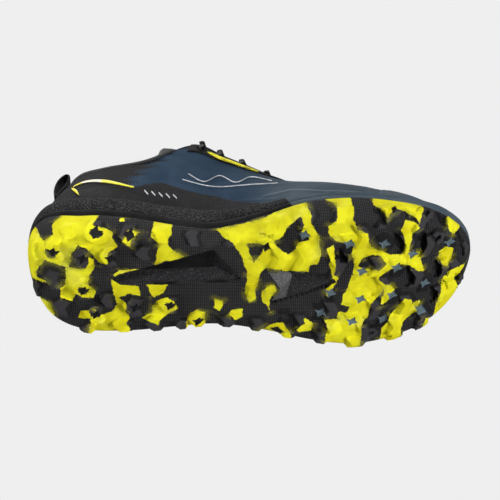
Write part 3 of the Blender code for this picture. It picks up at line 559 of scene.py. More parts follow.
# ---------------------------------------------------------------- outsole
# Yellow patches of the rubber, in plan (mm from the heel, mm outwards), with the dark holes in them.
YELLOW = [
    [(20, -48), (27, -60), (41, -63), (51, -60), (47, -51), (55, -49), (60, -45), (60, -40), (63, -33),
     (57, -29), (56, -18), (51, -19), (46, -26), (43, -31), (38, -33), (33, -28), (32, -20), (30, -15),
     (20, -16), (15, -17), (10, -10), (8, -4), (8, 0), (15, 1), (14, 3), (-6, 3), (-9, -9), (-8, -27),
     (7, -42), (15, -33), (21, -41)],
    [(43, -25), (47, -22), (47, -15), (43, -9), (42, -2), (47, 5), (45, 11), (38, 10), (34, 7), (31, 14),
     (23, 12), (24, 4), (27, 0), (28, -9), (28, -15), (41, -14), (44, -19)],
    [(36, 22), (34, 28), (38, 29), (43, 28), (41, 34), (40, 52), (52, 56), (66, 57), (68, 38), (66, 32),
     (68, 28), (66, 22), (67, 16), (63, 12), (59, 9), (60, 16), (57, 22), (50, 26), (46, 20)],
    [(57, -6), (64, -1), (75, 1), (76, 9), (69, 7), (62, 10), (59, 9), (58, 2)],
    [(59, -9), (63, -13), (75, -14), (66, -11), (60, -8)],
    [(7, 18), (15, 19), (18, 29), (14, 40), (2, 30)],
    [(80, -1), (94, -1), (91, 6), (84, 11), (82, 5)],
    [(86, 13), (93, 10), (98, 13), (100, 20), (95, 23), (88, 29), (87, 35), (81, 31), (75, 28), (83, 23),
     (84, 17)],
    [(108, 24), (113, 21), (118, 23), (118, 36), (117, 50), (106, 50), (105, 32)],
    [(124, 11), (130, 13), (128, 24), (124, 19)],
    [(135, 21), (143, 20), (142, 27), (138, 30), (133, 25)],
    [(86, -62), (98, -60), (97, -43), (94, -37), (98, -30), (105, -25), (100, -21), (93, -21), (86, -18),
     (88, -27), (89, -35), (84, -41), (85, -47)],
    [(70, -47), (77, -45), (72, -39), (71, -32), (66, -37)],
    [(64, -57), (67, -57), (67, -54), (64, -54)],
    [(125, -48), (149, -54), (158, -58), (174, -70), (182, -76), (185, -63), (187, -58), (186, -53),
     (190, -45), (192, -39), (193, -27), (191, -18), (186, -17), (185, -12), (170, -13), (157, -15),
     (154, -11), (153, -3), (151, 5), (151, 13), (147, 15), (144, 4), (146, -9), (145, -15), (142, -25),
     (137, -35), (130, -42)],
    [(163, -1), (165, 4), (160, 13), (161, 23), (156, 13), (155, 6), (159, 0)],
    [(153, 40), (162, 33), (169, 32), (174, 41), (177, 56), (160, 58), (150, 48)],
    [(178, 39), (184, 33), (182, 27), (190, 33), (188, 39), (180, 41)],
    [(197, -31), (201, -34), (203, -17), (202, -9), (205, -6), (202, 1), (199, 10), (197, 5), (199, -1),
     (201, -5), (199, -18)],
    [(193, -74), (211, -76), (213, -65), (213, -55), (217, -39), (211, -35), (203, -37), (198, -42),
     (197, -50), (202, -53), (203, -65), (200, -69)],
    [(214, -9), (222, -6), (231, -3), (238, -9), (246, -12), (251, -10), (256, -4), (262, -1), (259, -11),
     (258, -19), (250, -21), (251, -28), (252, -36), (256, -39), (253, -46), (247, -48), (244, -41),
     (246, -36), (247, -29), (246, -21), (237, -22), (231, -27), (225, -31), (222, -42), (216, -45),
     (214, -36), (213, -25), (215, -17)],
    [(213, -9), (223, -6), (231, -2), (236, 4), (231, 13), (227, 19), (225, 29), (221, 37), (222, 49),
     (218, 72), (194, 72), (198, 45), (199, 39), (197, 30), (205, 29), (206, 23), (211, 25), (213, 19),
     (207, 17), (208, 11), (212, -1)],
    [(225, -74), (241, -70), (256, -66), (259, -54), (256, -43), (252, -50), (246, -56), (239, -60),
     (235, -52), (230, -61), (226, -65)],
    [(249, 19), (254, 21), (255, 25), (260, 24), (259, 33), (255, 34), (250, 39), (249, 45), (247, 70),
     (230, 72), (235, 47), (236, 41), (239, 37), (240, 31), (244, 27)],
    [(261, 60), (265, 41), (269, 43), (270, 60)],
    [(271, 37), (273, 29), (274, 21), (275, 11), (278, 5), (290, 4), (288, 10), (282, 13), (285, 18),
     (287, 27), (284, 35), (280, 44), (271, 46)],
    [(274, -42), (279, -44), (286, -34), (285, -29), (280, -25), (277, -30)],
    [(271, -15), (275, -18), (281, -13), (280, -7), (277, 0), (273, -3), (271, -9)],
    [(235, 3), (240, 5), (242, 10), (238, 18), (233, 22), (235, 12)],
]
DARK = [
    [(45, -47), (49, -46), (53, -46), (54, -43), (51, -40), (47, -41), (45, -43)],
    [(16, -27), (21, -26), (23, -23), (21, -20), (17, -20)],
    [(33, -27), (38, -35), (42, -27), (44, -20), (38, -17), (33, -20)],
    [(36, 1), (40, 2), (43, 5), (40, 8), (36, 6)],
    [(42, 21), (46, 22), (50, 24), (47, 27), (43, 27)],
    [(68, 16), (73, 18), (75, 20), (71, 22), (68, 21)],
    [(92, 14), (97, 16), (98, 19), (94, 20), (92, 17)],
    [(146, -36), (156, -35), (155, -27), (150, -20), (147, -27)],
    [(163, -37), (169, -42), (171, -49), (180, -59), (182, -51), (180, -45), (185, -43), (185, -38),
     (178, -36), (176, -30), (172, -26), (165, -33)],
    [(217, -15), (220, -22), (226, -24), (231, -22), (236, -14), (231, -9), (225, -12)],
    [(161, 37), (166, 36), (170, 41), (166, 43)],
]
HEEL_WINDOW = [(57.5, -3), (66, -8), (124, -28), (142, -3), (140, -0.5), (70, 2), (63, 2)]
FORE_WINDOW = [(157, -11), (171, -9), (186, -7), (192, -8), (200, -6), (204, 0), (185, 10), (160, 19), (167, 7)]

# Lugs: centre x, y, length, width, turn (degrees; 180 points to the heel), recess (1 star, 2 square, 0 none).
LUGS = [
    (182, -41, 17, 17, -4, 1), (211, -33, 17, 18, -2, 1), (234, -30, 16, 18, -4, 1), (263, -47, 13, 12, -8, 2),
    (220, -9, 16, 18, 0, 1), (243, -8, 16, 18, 0, 1), (253, -17, 13, 15, -4, 1), (207, -21, 11, 12, 0, 0),
    (220, 15, 16, 18, 2, 1), (241, 15, 16, 18, 2, 1), (263, 11, 14, 16, 3, 1), (278, -18, 12, 14, -8, 1),
    (215, 34, 16, 16, 5, 1), (236, 35, 16, 16, 6, 1), (261, 33, 14, 15, 8, 1), (281, 3, 12, 15, 2, 0),
    (194, 25, 16, 16, 4, 1), (171, 29, 15, 13, 4, 1), (280, 20, 13, 13, 12, 0), (195, 46, 14, 11, 4, 0),
    (217, 54, 15, 12, 5, 0), (228, 44, 11, 9, 8, 2), (244, 51, 14, 11, 8, 0), (262, 47, 13, 10, 14, 0), (172, 43, 13, 9, 6, 0),
    (204, -57, 15, 13, -4, 0), (240, -56, 15, 12, -8, 2), (251, -53, 12, 11, -14, 0), (181, -56, 14, 11, 2, 0),
    (158, -31, 15, 14, -6, 1), (159, -46, 14, 10, 6, 0), (269, -27, 11, 12, -18, 2), (152, 34, 13, 12, 4, 0),
    (290, -8, 8, 12, -10, 0), (287, 17, 9, 11, 14, 0), (200, 8, 10, 12, 0, 1),
    (135, -37, 13, 10, 10, 0), (132, 32, 13, 11, 0, 0), (113, 31, 12, 12, 180, 1), (150, 6, 10, 10, 0, 0),
    (49, -43, 17, 17, 176, 1), (71, -41, 15, 15, 178, 1), (92, -42, 15, 15, 184, 0), (112, -38, 13, 12, 184, 0),
    (21, -26, 16, 17, 172, 1), (40, -23, 15, 17, 178, 1), (58, -23, 14, 14, 180, 1), (80, -27, 13, 11, 182, 0),
    (20, -2, 15, 17, 180, 0), (39, 4, 15, 17, 182, 1), (55, 13, 11, 13, 180, 0), (30, -43, 14, 11, 168, 0),
    (24, 21, 15, 15, 190, 0), (46, 25, 16, 16, 184, 1), (72, 19, 16, 16, 182, 1), (95, 17, 15, 15, 180, 1),
    (64, 36, 15, 11, 184, 0), (85, 34, 14, 12, 180, 0), (40, 39, 13, 9, 190, 0), (7, -20, 8, 14, 172, 0),
    (7, 12, 8, 14, 190, 0), (103, 35, 11, 10, 180, 0),
]
# Deep notches behind the lugs of the forefoot, sunk into the rubber and painted near-black as painted shade.
SHADED_NOTCHES = [
    [(239, -38), (245, -33), (248, -27), (247, -20), (242, -24), (240, -31)],
    [(249, -9), (253, -4), (256, 2), (255, 8), (251, 7), (250, 0)],
    [(257, -35), (261, -31), (262, -24), (260, -17), (257, -22), (258, -28)],
    [(269, -7), (273, -3), (274, 4), (271, 8), (268, 2)],
    [(267, 16), (272, 19), (273, 26), (270, 30), (267, 24)],
    [(228, -61), (234, -54), (234, -47), (230, -49)],
    [(284, -23), (289, -22), (290, -15), (286, -13)],
    [(271, -46), (275, -43), (277, -37), (275, -30), (272, -35)],
    [(204, -30), (210, -24), (211, -18), (205, -20)],
]
# Chevron ridges of the forefoot: apex x, middle y, half width. They rise steeply on the heel's side.
CRESTS = [
    (166, -49, 11), (166, -22, 12), (183, -56, 9), (182, -22, 12), (206, -62, 8), (203, -14, 9), (219, -39, 10),
    (229, -14, 9), (232, -52, 8), (248, -28, 9), (234, 5, 9), (229, 24, 9), (256, -43, 8), (262, -22, 9),
    (256, 2, 9), (250, 24, 9), (274, 1, 8), (273, 23, 8), (277, -32, 7), (223, 45, 9), (243, 42, 8), (201, 41, 9),
    (181, 34, 9), (262, 40, 7), (200, 22, 8),
]
BASE_TO_PLAN = 0.84  # how far the pattern runs up the side wall for each mm of height


def lug_polygon(x, y, length, width, turn):
    a, b = length / 2, width / 2
    outline = [(a, 0), (a * 0.30, b), (-a * 0.85, b * 0.86), (-a * 0.48, 0), (-a * 0.85, -b * 0.86),
               (a * 0.30, -b)]
    return turned(outline, x, y, turn)


def back_slope(plan, x, y, length, width, turn):
    """Share of the full height on the sloping face behind a lug, from 0 at its back edge to 1."""
    c, s = math.cos(math.radians(turn)), math.sin(math.radians(turn))
    p = (plan[:, 0] - x) * c + (plan[:, 1] - y) * s
    q = (plan[:, 1] - y) * c - (plan[:, 0] - x) * s
    a, b = length / 2, width / 2
    back = -0.48 * a - 0.37 * a * np.abs(q) / (0.86 * b)
    return np.clip((p - back + 0.3) / 2.6, 0, 1)


def turned(outline, x, y, turn):
    c, s = math.cos(math.radians(turn)), math.sin(math.radians(turn))
    return [(x + p * c - q * s, y + p * s + q * c) for p, q in outline]


def recess_polygon(x, y, turn, kind):
    if kind == 2:
        return turned([(1.7, 1.5), (-1.7, 1.8), (-1.8, -1.5), (1.8, -1.7)], x, y, turn)
    arms = []
    for k in range(8):
        radius = 4.7 if k % 2 == 0 else 2.3
        angle = math.radians(45 * k + 20)
        arms.append((radius * math.cos(angle), radius * math.sin(angle) * 0.95))
    return turned(arms, x, y, turn)


def crest_height(plan):
    height = np.zeros(len(plan))
    for x, y, half in CRESTS:
        off_middle = np.abs(plan[:, 1] - y)
        past = plan[:, 0] - x + 0.5 * off_middle
        rise = np.clip((past + 3.6) / 3.6, 0, 1) ** 2 * (1 - smooth_step(past, 4.0, 9.5))
        height = np.maximum(height, rise * (1 - smooth_step(off_middle, half - 1.5, half + 0.5)))
    return height


def lug_fields(plan):
    """Height share of the lugs, 0 to 1, and the signed distance into their recesses."""
    height, recess, square = np.zeros(len(plan)), np.full(len(plan), -3.0), np.zeros(len(plan))
    for x, y, length, width, turn, kind in LUGS:
        near = np.flatnonzero(np.hypot(plan[:, 0] - x, plan[:, 1] - y) < 0.5 * math.hypot(length, width) + 2)
        if not len(near):
            continue
        inside = inside_distance(plan[near], lug_polygon(x, y, length, width, turn))
        rise = np.minimum(smooth_step(inside, -0.25, 0.55), back_slope(plan[near], x, y, length, width, turn))
        if kind:
            hole = inside_distance(plan[near], recess_polygon(x, y, turn, kind))
            square[near] = np.where(hole > recess[near], float(kind == 2), square[near])
            recess[near] = np.maximum(recess[near], hole)
            if kind == 1 and x > 150:
                rise *= 0.35
            rise -= (0.75 if kind == 2 else 0.3 if x > 150 else 0.45) * smooth_step(hole, -0.1, 0.4)
        height[near] = np.maximum(height[near], rise)
    height = np.maximum(height, crest_height(plan))
    notch_and_shade = np.full(len(plan), -9.0)
    for outline in SHADED_NOTCHES:
        notch_and_shade = np.maximum(notch_and_shade, inside_distance(plan, outline))
    height -= (height + 0.25) * smooth_step(notch_and_shade, -0.2, 0.5)
    return height, recess, square, notch_and_shade


def camo_field(plan):
    field = np.full(len(plan), -9.0)
    for outline in YELLOW:
        field = np.maximum(field, inside_distance(plan, outline))
    for outline in DARK:
        field = np.minimum(field, -inside_distance(plan, outline))
    return np.clip(field, -9, 9)


def window_field(plan):
    return np.maximum(inside_distance(plan, HEEL_WINDOW), inside_distance(plan, FORE_WINDOW))


def build_outsole():
    around, across = 1040, 74
    t = np.arange(around) / around
    base = outsole_bottom
    wall_rows = [(2.6, lambda x: EDGE_TOP(x) - 0.2), (0.9, EDGE_TOP), (0.25, lambda x: EDGE_TOP(x) - 0.35)]
    for k in range(9):
        share = k / 8

        def level(x, share=share):
            return (EDGE_TOP(x) - 1.1) * (1 - share) + (base(x) + 5.0) * share

        wall_rows.append((0.05 + 2.0 * share ** 1.6, level))
    wall_rows += [(2.5, lambda x: base(x) + 3.6), (3.1, lambda x: base(x) + 2.4), (3.9, lambda x: base(x) + 1.4),
                  (4.9, lambda x: base(x) + 0.6), (6.0, lambda x: base(x) + 0.15)]
    rows = [ring(t, inset, height) for inset, height in wall_rows]
    rim, middle = ring(t, 7.2, base), spine(t, base)
    share = np.linspace(0, 1, across)[:, None, None]
    floor = rim[None] * (1 - share) + middle[None] * share
    floor[..., 2] = base(floor[..., 0])
    under = np.concatenate([np.array(rows), floor])
    first_floor = len(rows)

    # Points next to a window's outline are drawn onto it, so that its edge is crisp.
    flat = under[first_floor:].reshape(-1, 3)
    plan = flat[:, :2]
    gap = window_field(plan)
    close = np.abs(gap) < 0.42
    step = 0.05
    slope = np.stack([window_field(plan[close] + np.array(d) * step) - gap[close] for d in ((1, 0), (0, 1))], 1)
    slope /= np.maximum(np.linalg.norm(slope, axis=1, keepdims=True), 1e-6)
    flat[close, :2] -= slope * gap[close][:, None]
    flat[:, 2] = base(flat[:, 0])
    inside_window = (window_field(flat[:, :2]) > 0.02).reshape(across, around)

    shape = under.shape[:2]
    out = np.broadcast_to(outward(t)[None], shape + (2,))
    lift = under[..., 2] - base(under[..., 0])
    on_wall = smooth_step(lift, 0.3, 6.0)
    plan = under[..., :2] + out * (lift * 0.8)[..., None]
    lug, recess, square, notch_and_shade = lug_fields(plan.reshape(-1, 2))
    lug, recess = lug.reshape(shape), recess.reshape(shape)
    fade = 1 - smooth_step(lift, 6.0, 12.5)
    amount = lug * fade * (LUG_HEIGHT * (1 - on_wall) + 2.6 * on_wall)
    away = np.stack([out[..., 0] * on_wall, out[..., 1] * on_wall, -(1 - on_wall) - 0.5 * on_wall], -1)
    moved = under + away * amount[..., None]
    moved[..., 2] = np.maximum(moved[..., 2], ground_rise(moved[..., 0]))
    height = moved[..., 2] - base(moved[..., 0]) + LUG_HEIGHT
    side = np.tanh(out[..., 1] * 4) * on_wall - (1 - on_wall)
    seen = np.stack([moved[..., 0], moved[..., 1] + side * BASE_TO_PLAN * (height - 1)], -1)
    camo = camo_field(seen.reshape(-1, 2))

    skin = floor.copy()
    skin[..., :2] = flat.reshape(across, around, 3)[..., :2]
    skin[..., 2] = base(skin[..., 0]) + OUTSOLE_SKIN
    cup = [ring(t, 6.2, lambda x: base(x) + OUTSOLE_SKIN + 0.6), ring(t, 3.6, lambda x: base(x) + OUTSOLE_SKIN + 3.4)]
    over = np.concatenate([np.array(cup[::-1]), skin])
    lower, upper = moved.reshape(-1, 3), over.reshape(-1, 3)
    total = len(lower)
    keep = ~inside_window
    cell = keep[:-1] & keep[1:] & np.roll(keep, -1, 1)[:-1] & np.roll(keep, -1, 1)[1:]
    faces = grid_faces(*shape, wrap_cols=True).reshape(shape[0] - 1, around, 4)
    kept_low = np.concatenate([np.ones((first_floor, around), bool), cell])
    faces_low = faces[kept_low]
    faces = grid_faces(len(over), around, wrap_cols=True, first=total).reshape(len(over) - 1, around, 4)
    faces_up = faces[np.concatenate([np.ones((len(cup), around), bool), cell])][:, ::-1]
    rim_join = np.stack([np.arange(around), np.roll(np.arange(around), -1),
                         total + np.roll(np.arange(around), -1), total + np.arange(around)], 1)
    walls = []
    for i, j in zip(*np.nonzero(~cell)):
        corners = [(i, j), (i, (j + 1) % around), (i + 1, (j + 1) % around), (i + 1, j)]
        beside = [(i - 1, j), (i, (j + 1) % around), (i + 1, j), (i, (j - 1) % around)]
        for (a, b), (p, q) in zip(zip(corners, corners[1:] + corners[:1]), beside):
            if 0 <= p < cell.shape[0] and cell[p, q]:
                low = [(first_floor + r) * around + c for r, c in (a, b)]
                up = [total + (len(cup) + r) * around + c for r, c in (a, b)]
                walls.append([low[0], low[1], up[1], up[0]])
    points = np.concatenate([lower, upper])
    pad = np.zeros(len(upper))
    attributes = {
        "camo_mm": np.concatenate([camo, pad - 9]),
        "lug": np.concatenate([lug.ravel() * fade.ravel(), pad]),
        "star_mm": np.concatenate([recess.ravel(), pad - 3]),
        "square": np.concatenate([square, pad]),
        "notch_shade_mm": np.concatenate([notch_and_shade, pad - 9]),
        "plan_mm": np.concatenate([np.concatenate([plan.reshape(-1, 2), np.zeros((total, 1))], 1), upper]),
        "rest_mm": points,
    }
    faces = faces_low.tolist() + faces_up.tolist() + rim_join.tolist() + walls
    piece = add_mesh("outsole", points, faces, attributes, sharp=38)
    bm = bmesh.new()
    bm.from_mesh(piece.data)
    bmesh.ops.delete(bm, geom=[v for v in bm.verts if not v.link_faces], context="VERTS")
    bm.to_mesh(piece.data)
    bm.free()
    piece.data.materials.append(marbled_rubber())
    return piece


# ---------------------------------------------------------------- foams and insole
def edge_side(point, a, b):
    """Distance in mm inside the line from a to b."""
    ax, ay = a
    dx, dy = b[0] - ax, b[1] - ay
    return ((point[..., 0] - ax) * -dy + (point[..., 1] - ay) * dx) / math.hypot(dx, dy)


def heel_pit(p):
    top, right, low = ((57.5, -3), (124, -28)), ((124, -28), (142, -3)), ((142, -3), (57.5, 1))
    return np.minimum.reduce([edge_side(p, *top) * 2.2, edge_side(p, *right) * 0.55,
                              edge_side(p, *low) * 1.6 + 1.2, np.full(p.shape[:-1], 7.5)])


def fore_pit(p):
    left = np.maximum(edge_side(p, (167, 7), (157, -11)) * 0.6, edge_side(p, (160, 19), (167, 7)) * 1.2)
    return np.minimum.reduce([edge_side(p, (157, -11), (202, -6)) * 2.0, edge_side(p, (202, -6), (205, 0)) * 1.2,
                              edge_side(p, (205, 0), (160, 19)) * 0.55, left, np.full(p.shape[:-1], 6.0)])


def build_window_foam():
    """The faceted foam that shows through the two openings of the rubber."""
    pieces = []
    for name, outline, pit in (("heel_window_foam", HEEL_WINDOW, heel_pit), ("fore_window_foam", FORE_WINDOW, fore_pit)):
        outline = np.array(outline, float)
        low, high = outline.min(0) - 3.5, outline.max(0) + 3.5
        xs, ys = np.arange(low[0], high[0], 0.7), np.arange(low[1], high[1], 0.7)
        grid = np.stack(np.meshgrid(xs, ys, indexing="ij"), -1)
        inside = inside_distance(grid.reshape(-1, 2), outline).reshape(grid.shape[:2])
        depth = np.where(inside > -0.3, np.clip(pit(grid), 0, None), 0)
        z = outsole_bottom(grid[..., 0]) + OUTSOLE_SKIN + 0.15 + depth
        points = np.concatenate([grid, z[..., None]], -1)
        keep = (inside > -3.2)
        cell = keep[:-1, :-1] & keep[1:, :-1] & keep[:-1, 1:] & keep[1:, 1:]
        faces = grid_faces(*grid.shape[:2]).reshape(cell.shape + (4,))[cell]
        # Painted light: the sloping face next to the forefoot window's heel-side edge is marked to be painted pale, as
        # a lit face.
        pale = (np.maximum(edge_side(grid, (167, 7), (157, -11)) * 0.6, 0) <= pit(grid) + 1e-6) * (name[0] == "f")
        piece = add_mesh(name, points.reshape(-1, 3), faces.tolist(), {"pale": pale.astype(float).ravel()},
                         sharp=12, weld=False)
        clean = bmesh.new()
        clean.from_mesh(piece.data)
        bmesh.ops.delete(clean, geom=[v for v in clean.verts if not v.link_faces], context="VERTS")
        clean.to_mesh(piece.data)
        clean.free()
        if sum(p.normal.z for p in piece.data.polygons) > 0:
            piece.data.flip_normals()
        solid = piece.modifiers.new("Depth", "SOLIDIFY")
        solid.thickness, solid.offset = 0.0015, -1
        finished(piece)
        piece.data.materials.append(window_foam_finish())
        pieces.append(piece)
    return pieces


def window_foam_finish():
    f = Finish("window_foam", rough=0.75, specular=0.2)
    place = f.place()
    fleck = f.step(f.noise(place, 1.6, 3.0, 0.7), 0.53, 0.66)
    colour = f.mix(fleck, (0.011, 0.011, 0.012), (0.085, 0.085, 0.088))
    # Painted light: the marked face gets pale grey flecks, as if lit.
    pale = f.mix(fleck, (0.09, 0.09, 0.092), (0.30, 0.30, 0.30))
    colour = f.mix(f.attribute("pale"), colour, pale)
    return f.done(colour, f.bump(f.cells(place, 0.9), 0.5, 0.8))


def layered(name, rings, spine_low, spine_high, around=420, attributes=None, across=16):
    """A closed layer of the sole; the first and last rings run on to the middle line."""
    t = np.arange(around) / around
    rows = [ring(t, inset, height) for inset, height in rings]
    share = np.linspace(0, 1, across + 1)[:, None, None]

    def towards_middle(edge, height):
        inner = edge[None] * (1 - share) + spine(t, height)[None] * share
        inner[..., 2] = height(inner[..., 0])
        return inner

    low = towards_middle(rows[0], spine_low)[::-1]
    high = towards_middle(rows[-1], spine_high)
    points = np.concatenate([low, np.array(rows[1:-1]), high])
    return points, t


def build_midsoles():
    def under(x):
        return outsole_bottom(x) + OUTSOLE_SKIN + GAP

    def band(low, high, share):
        return lambda x: low(x) * (1 - share) + high(x) * share

    lower_rings = [(6.9, under), (3.9, lambda x: under(x) + 3.3), (3.2, lambda x: EDGE_TOP(x) - 1.0),
                   (1.1, lambda x: EDGE_TOP(x) + 0.1), (0.5, lambda x: EDGE_TOP(x) + 0.35)]
    for share, inset in ((0.2, 0.15), (0.35, 0.0), (0.5, -0.1), (0.65, 0.0), (0.8, 0.25), (0.92, 0.8), (1.0, 1.5)):
        lower_rings.append((inset, band(lambda x: EDGE_TOP(x) + 0.35, lambda x: GROOVE(x) + 0.1, share)))
    lower_rings += [(2.6, lambda x: GROOVE(x) - 0.1), (5.4, lambda x: foam_joint(x) + 2.6), (9.0, foam_joint)]
    points, t = layered("lower", lower_rings, under, foam_joint)
    inside = window_field(points.reshape(-1, 3)[:, :2]).reshape(points.shape[:2])
    bottom = np.arange(len(points))[:, None] < 17
    points[..., 2] += np.where(bottom, np.clip(inside + 3, 0, 3) / 3 * 6.5, 0)
    lower = add_mesh("lower_midsole", points.reshape(-1, 3), grid_faces(*points.shape[:2], wrap_cols=True).tolist())
    lower.data.materials.append(smooth_foam())

    upper_rings = [(8.8, lambda x: foam_joint(x) + GAP), (5.9, lambda x: foam_joint(x) + 3.0),
                   (3.0, lambda x: GROOVE(x) + 0.3), (2.2, lambda x: GROOVE(x) + 0.35)]
    for share, inset in ((0.02, 1.1), (0.1, 0.45), (0.25, 0.1), (0.45, 0.0), (0.65, 0.15), (0.82, 0.6), (0.93, 1.3)):
        upper_rings.append((inset, band(GROOVE, RIM, share)))
    upper_rings += [(2.4, RIM), (3.8, lambda x: RIM(x) - 0.1), (4.9, lambda x: RIM(x) - 1.0),
                    (5.5, lambda x: footbed(x) + 0.6), (6.0, footbed)]
    points, t = layered("upper", upper_rings, lambda x: foam_joint(x) + GAP, footbed)
    upper = add_mesh("upper_midsole", points.reshape(-1, 3), grid_faces(*points.shape[:2], wrap_cols=True).tolist())
    upper.data.materials.append(speckled_foam("speckled_foam", (0.010, 0.0098, 0.010), (0.092, 0.090, 0.092), 0.50))
    return lower, upper


def build_sockliner():
    lift = GAP + 1.4 + GAP
    low = lambda x: footbed(x) + lift
    top = lambda x: footbed(x) + lift + 4.4
    inset = UPPER_INSET + 4.6
    rings = [(inset + 0.8, low), (inset + 0.2, lambda x: low(x) + 0.8), (inset, lambda x: top(x) + 0.2),
             (inset + 0.5, lambda x: top(x) + 0.75), (inset + 1.5, lambda x: top(x) + 0.55), (inset + 5, top)]
    points, t = layered("sockliner", rings, low, top, around=300)
    piece = add_mesh("sockliner", points.reshape(-1, 3), grid_faces(*points.shape[:2], wrap_cols=True).tolist())
    f = Finish("sockliner_cloth", rough=0.9, specular=0.15, Sheen_Weight=0.25)
    place = f.place()
    xyz = f.split(place)
    rib = f.math("MULTIPLY", f.wave(xyz[0], 1.6), f.wave(xyz[1], 1.6))
    colour = f.mix(f.step(f.noise(place, 0.5, 3.0), 0.3, 0.7), (0.018, 0.026, 0.036), (0.035, 0.048, 0.062))
    piece.data.materials.append(f.done(colour, f.bump(rib, 0.25, 0.7)))
    return piece


# ---------------------------------------------------------------- upper
def fade_line(points):
    """Distance in front of the slanting line where the heel's black turns into blue."""
    edge_x = np.interp(points[..., 2], [50, 62.7, 73, 83, 93.5, 105.6, 120], [60, 67.5, 73.5, 80, 86, 92, 99])
    return points[..., 0] - edge_x


RIDGE_HIGHLIGHT = (0.185, 0.225, 0.255)  # painted highlight: the crests of the flowing ridges are painted paler, as if they caught the light


def knit_finish(name="knit_upper", dark=(0.012, 0.012, 0.013)):
    """Engineered mesh: rows of small holes, blue in front, breaking up into black at the heel."""
    f = Finish(name, rough=0.85, specular=0.12)
    film = f.attribute("film_mm", "Vector")
    xyz = f.split(film)
    columns = f.wave(xyz[0], 1.9)
    rows = f.wave(xyz[1], 1.5)
    thread = f.math("MULTIPLY", columns, rows)
    holes = f.step(thread, 0.45, 0.9)
    fine = f.math("MULTIPLY", f.wave(xyz[0], 0.62), f.wave(xyz[1], 0.62))
    tone = f.noise(f.place(), 0.05, 3.0)
    blue = f.mix(f.step(tone, 0.3, 0.7), (0.022, 0.046, 0.082), (0.034, 0.064, 0.106))
    blue = f.mix(f.math("MULTIPLY", holes, 0.55), blue, (0.010, 0.018, 0.030))
    front = f.step(f.split(f.attribute("rest_mm", "Vector"))[0], 138, 176)
    slate = f.mix(f.step(tone, 0.3, 0.7), (0.058, 0.080, 0.100), (0.078, 0.102, 0.122))
    # Painted highlight: the ridge crests on the vamp are painted paler, as if lit.
    slate = f.mix(f.math("MULTIPLY", f.step(f.attribute("ridge_mm"), 0.30, 0.75), 0.55), slate, RIDGE_HIGHLIGHT)
    blue = f.mix(front, blue, slate)
    holes = f.math("MULTIPLY", holes, f.math("SUBTRACT", 1.0, f.math("MULTIPLY", front, 0.8)))
    black = f.mix(holes, dark, tuple(0.4 * c for c in dark))
    step_y = f.math("MULTIPLY", f.math("FLOOR", f.math("DIVIDE", xyz[1], 3.2)), 3.2)
    saw = f.math("MULTIPLY", f.math("SINE", f.math("MULTIPLY", step_y, 1.35)), 3.0)
    dots = f.math("MULTIPLY", f.wave(xyz[0], 2.2), 3.4)
    edge = f.math("ADD", f.math("ADD", f.attribute("fade_mm"), saw), dots)
    colour = f.mix(f.step(edge, -0.6, 0.6), black, blue)
    normal = f.bump(f.math("MULTIPLY", holes, -1.0), 0.45, 0.8)
    return f.done(colour, f.bump(fine, 0.12, 0.6, after=normal))


def film_finish(name, colour_a, colour_b, rough=0.5, grain=0.25, specular=0.3, weave=True):
    """Welded film or close textile with a fine woven or leathery grain."""
    f = Finish(name, rough=rough, specular=specular)
    place = f.place()
    colour = f.mix(f.step(f.noise(place, 0.06, 3.0), 0.3, 0.7), colour_a, colour_b)
    # Painted highlight: the ridge crests of a film are painted paler, as if lit.
    colour = f.mix(f.math("MULTIPLY", f.step(f.attribute("ridge_mm"), 0.30, 0.75), 0.55), colour, RIDGE_HIGHLIGHT)
    xyz = f.split(f.attribute("film_mm", "Vector"))
    if weave:
        twill = f.wave(f.math("ADD", xyz[0], xyz[1]), 0.9)
        other = f.wave(f.math("SUBTRACT", xyz[0], xyz[1]), 0.9)
        cloth = f.math("MAXIMUM", twill, other)
        colour = f.mix(f.math("MULTIPLY", f.step(cloth, 0.6, 1.0), 0.35), colour, tuple(3 * c for c in colour_a))
        normal = f.bump(cloth, grain, 0.6)
    else:
        normal = f.bump(f.noise(place, 1.5, 5.0, 0.6), grain, 0.6)
    scuff = f.math("MULTIPLY_ADD", f.noise(place, 0.3, 4.0), 0.3, rough - 0.15)
    return f.done(colour, normal, scuff)


